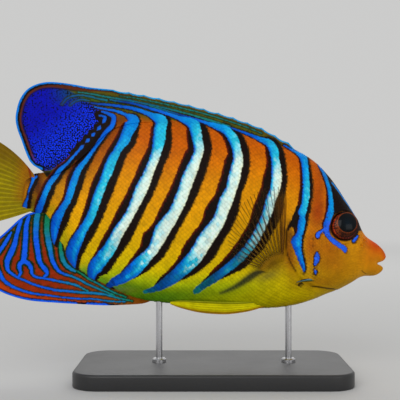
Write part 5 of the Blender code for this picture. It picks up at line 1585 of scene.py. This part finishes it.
for side, word in ((-1, "right"), (1, "left")):
    middle = np.stack([grid[..., 0], side * away, grid[..., 1]], axis=2)
    pectoral, places = fin_mesh(f"pectoral_{word}", middle, half, clear_finish)
    flank = np.stack([grid[..., 0], side * np.broadcast_to(seat, out.shape), grid[..., 1]], axis=2)
    fleshy = body_ground(seen_place(flank.reshape(-1, 3)))
    fleshy = mix(fleshy, ROOT_OLIVE, smooth(2.0, 6.0, distance).reshape(-1, 1) * 0.7)
    store(pectoral, "ground", np.tile(fleshy, (2, 1)))
    for key, values in fields.items():
        store(pectoral, key, np.tile(values.reshape(-1), 2))
    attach(pectoral, "root")
    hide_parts(f"pectoral_fin_{word}")

# Pelvic fins
# Each is one spine and a few soft rays in yellow skin, folded back along the belly. Its root is
# sunk in the side of the breast and its tip hangs free.
PELVIC_LOWER = [
    (45.0, 33.8), (39.0, 31.6), (33.0, 30.3), (25.0, 29.5), (14.1, 30.2), (5.0, 32.3), (0.4, 34.0),
]
PELVIC_UPPER = [
    (44.0, 36.4), (39.0, 35.6), (33.0, 35.2), (25.0, 35.3), (14.1, 35.7), (5.0, 35.8), (0.4, 35.2),
]
PELVIC_RAYS, PELVIC_FINE, PELVIC_ROWS = 6, 8, 90
PELVIC_OCHRE, PELVIC_YELLOW, PELVIC_OLIVE = rgb(178, 128, 10), rgb(240, 228, 12), rgb(138, 140, 16)
PELVIC_INNER, PELVIC_SPLAY, PELVIC_SINK, PELVIC_BEND = 2.2, 0.8, 1.3, 6.0
PELVIC_HALF, PELVIC_RIDGE = (0.42, 0.12), 0.16
lower, upper = evenly(PELVIC_LOWER, PELVIC_ROWS), evenly(PELVIC_UPPER, PELVIC_ROWS)
phase = np.arange((PELVIC_RAYS - 1) * PELVIC_FINE + 1) / PELVIC_FINE
share = (phase / (PELVIC_RAYS - 1))[:, None, None]
grid = lower[None] * (1 - share) + upper[None] * share
hung = PELVIC_INNER + PELVIC_SPLAY * (grid[..., 1] - lower[None, :, 1])
sunk = np.array([flank_reach(x, z) for x, z in grid[::PELVIC_FINE, 0]])
sunk = np.interp(phase, np.arange(PELVIC_RAYS), sunk)[:, None] - PELVIC_SINK
free = np.linalg.norm(grid - grid[:, :1], axis=2) / PELVIC_BEND
held = mix(sunk, hung, smooth(0, 1, free))
out = np.linspace(0, 1, PELVIC_ROWS)[None] * np.ones((len(phase), 1))
ridge = ray_ridges(phase[:, None], out, width=0.2, split_at=0.5, split=0.2)
half = mix(*PELVIC_HALF, out) + PELVIC_RIDGE * ridge * (1 - 0.7 * out)
low = share[..., 0] * np.ones_like(out)
tone_grid = mix(PELVIC_OCHRE, PELVIC_YELLOW, smooth(0.05, 0.4, low)[..., None])
tone_grid = mix(tone_grid, PELVIC_OLIVE, smooth(0.75, 1.0, low)[..., None])
tone_grid = tone_grid * (1.02 + 0.22 * ridge)[..., None]
for side, word in ((-1, "right"), (1, "left")):
    middle = np.stack([grid[..., 0], side * held, grid[..., 1]], axis=2)
    pelvic, places = fin_mesh(f"pelvic_{word}", middle, half, fin_finish)
    paint = empty_paint(len(places))
    paint["ground"] = np.tile(tone_grid.reshape(-1, 3), (2, 1))
    give_paint(pelvic, paint)
    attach(pelvic, "root")
    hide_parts(f"pelvic_fin_{word}")

# Stand
# A moulded satin-black plate with a softened edge, and two brushed steel rods let into it and
# into the belly, each in a small turned collar.
BASE_LENGTH, BASE_WIDTH, BASE_HEIGHT, BASE_CENTRE_X = 124.0, 66.0, 7.0, 20.0
BASE_CORNER, BASE_BEVEL = 12.0, 1.2
ROD_RADIUS, ROD_PLACES, ROD_IN_BASE, ROD_IN_FISH = 1.5, {"front": 55.0, "rear": -4.8}, 4.0, 4.5
COLLAR_RADIUS, COLLAR_HEIGHT, SMALL_BEVEL = 3.2, 1.8, 0.5
CORNER_STEPS, BEVEL_STEPS, ROD_SPOKES = 12, 8, 48
PLATE_BLACK, STEEL_GREY = (0.02, 0.02, 0.021, 1.0), (0.58, 0.58, 0.6, 1.0)
PLATE_CLOUD, PLATE_PEBBLE, STEEL_BRUSH, BRUSH_STRETCH = 40.0, 2200.0, 3500.0, 0.05

plate_finish, tree, shader = new_material("satin_plate")
where = object_place(tree)
cloud = ranged(tree, noise(tree, where, PLATE_CLOUD, 5.0, 0.6), 0.0, 1.0, 0.34, 0.5)
plug(tree, shader, {"Base Color": PLATE_BLACK, "Roughness": cloud})
bumpy(tree, shader, noise(tree, where, PLATE_PEBBLE, 2.0), 0.12, 0.1)

layers = [(0.0, 0.5), (0.25, 0.12), (0.6, 0.0), (BASE_HEIGHT - BASE_BEVEL, 0.0)]
layers += [
    (BASE_HEIGHT - BASE_BEVEL * (1 - math.sin(t)), BASE_BEVEL * (1 - math.cos(t)))
    for t in np.linspace(0, math.pi / 2, BEVEL_STEPS + 1)[1:]
]
rings = []
for height, inset in layers:
    for cx, cy, start in ((1, 1, 0), (-1, 1, 90), (-1, -1, 180), (1, -1, 270)):
        x, y = BASE_CENTRE_X + cx * (BASE_LENGTH / 2 - BASE_CORNER), cy * (BASE_WIDTH / 2 - BASE_CORNER)
        for k in range(CORNER_STEPS + 1):
            turn, reach = math.radians(start + 90 * k / CORNER_STEPS), BASE_CORNER - inset
            rings.append((x + reach * math.cos(turn), y + reach * math.sin(turn), height))
rings = np.array(rings).reshape(len(layers), -1, 3)
ends = [(BASE_CENTRE_X, 0.0, 0.0), (BASE_CENTRE_X, 0.0, BASE_HEIGHT)]
plate, _ = lofted("stand_plate", rings, ends, plate_finish)
plate.data.set_sharp_from_angle(angle=math.radians(30))
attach(plate, "root")
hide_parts("stand_base")

steel_finish, tree, shader = new_material("brushed_steel")
stretch = node(tree, "ShaderNodeMapping", {"Vector": object_place(tree), "Scale": (1.0, 1.0, BRUSH_STRETCH)})
brushed = noise(tree, stretch.outputs["Vector"], STEEL_BRUSH, 2.0)
rough = ranged(tree, brushed, 0.0, 1.0, 0.2, 0.36)
plug(tree, shader, {"Base Color": STEEL_GREY, "Metallic": 1.0, "Roughness": rough})
bumpy(tree, shader, brushed, 0.08, 0.05)
for word, x in ROD_PLACES.items():
    keel = along(KEEL, np.linspace(0, HEAD_STATION, 600))
    order = np.argsort(keel[:, 0])
    belly = float(np.interp(x, keel[order, 0], keel[order, 1]))
    top = belly + ROD_IN_FISH
    foot, collar = BASE_HEIGHT - ROD_IN_BASE, BASE_HEIGHT + COLLAR_HEIGHT
    profile = [
        (0.01, foot), (ROD_RADIUS, foot), (ROD_RADIUS, BASE_HEIGHT - 0.5),
        (COLLAR_RADIUS, BASE_HEIGHT - 0.5), (COLLAR_RADIUS, collar - SMALL_BEVEL),
        (COLLAR_RADIUS - SMALL_BEVEL, collar),
        (ROD_RADIUS + 0.2, collar), (ROD_RADIUS, collar - 0.3), (ROD_RADIUS, top - 0.4),
        (ROD_RADIUS - 0.4, top), (0.01, top),
    ]
    name = f"stand_rod_{word}_turned"
    rod, _ = turned(name, profile, ROD_SPOKES, (x, 0.0, 0.0), (0, 0, 1), steel_finish)
    rod.data.set_sharp_from_angle(angle=math.radians(30))
    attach(rod, "root")
    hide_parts(f"stand_rod_{word}")

size = {"cad": cad_box, "visual": [list(corner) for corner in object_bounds()]}
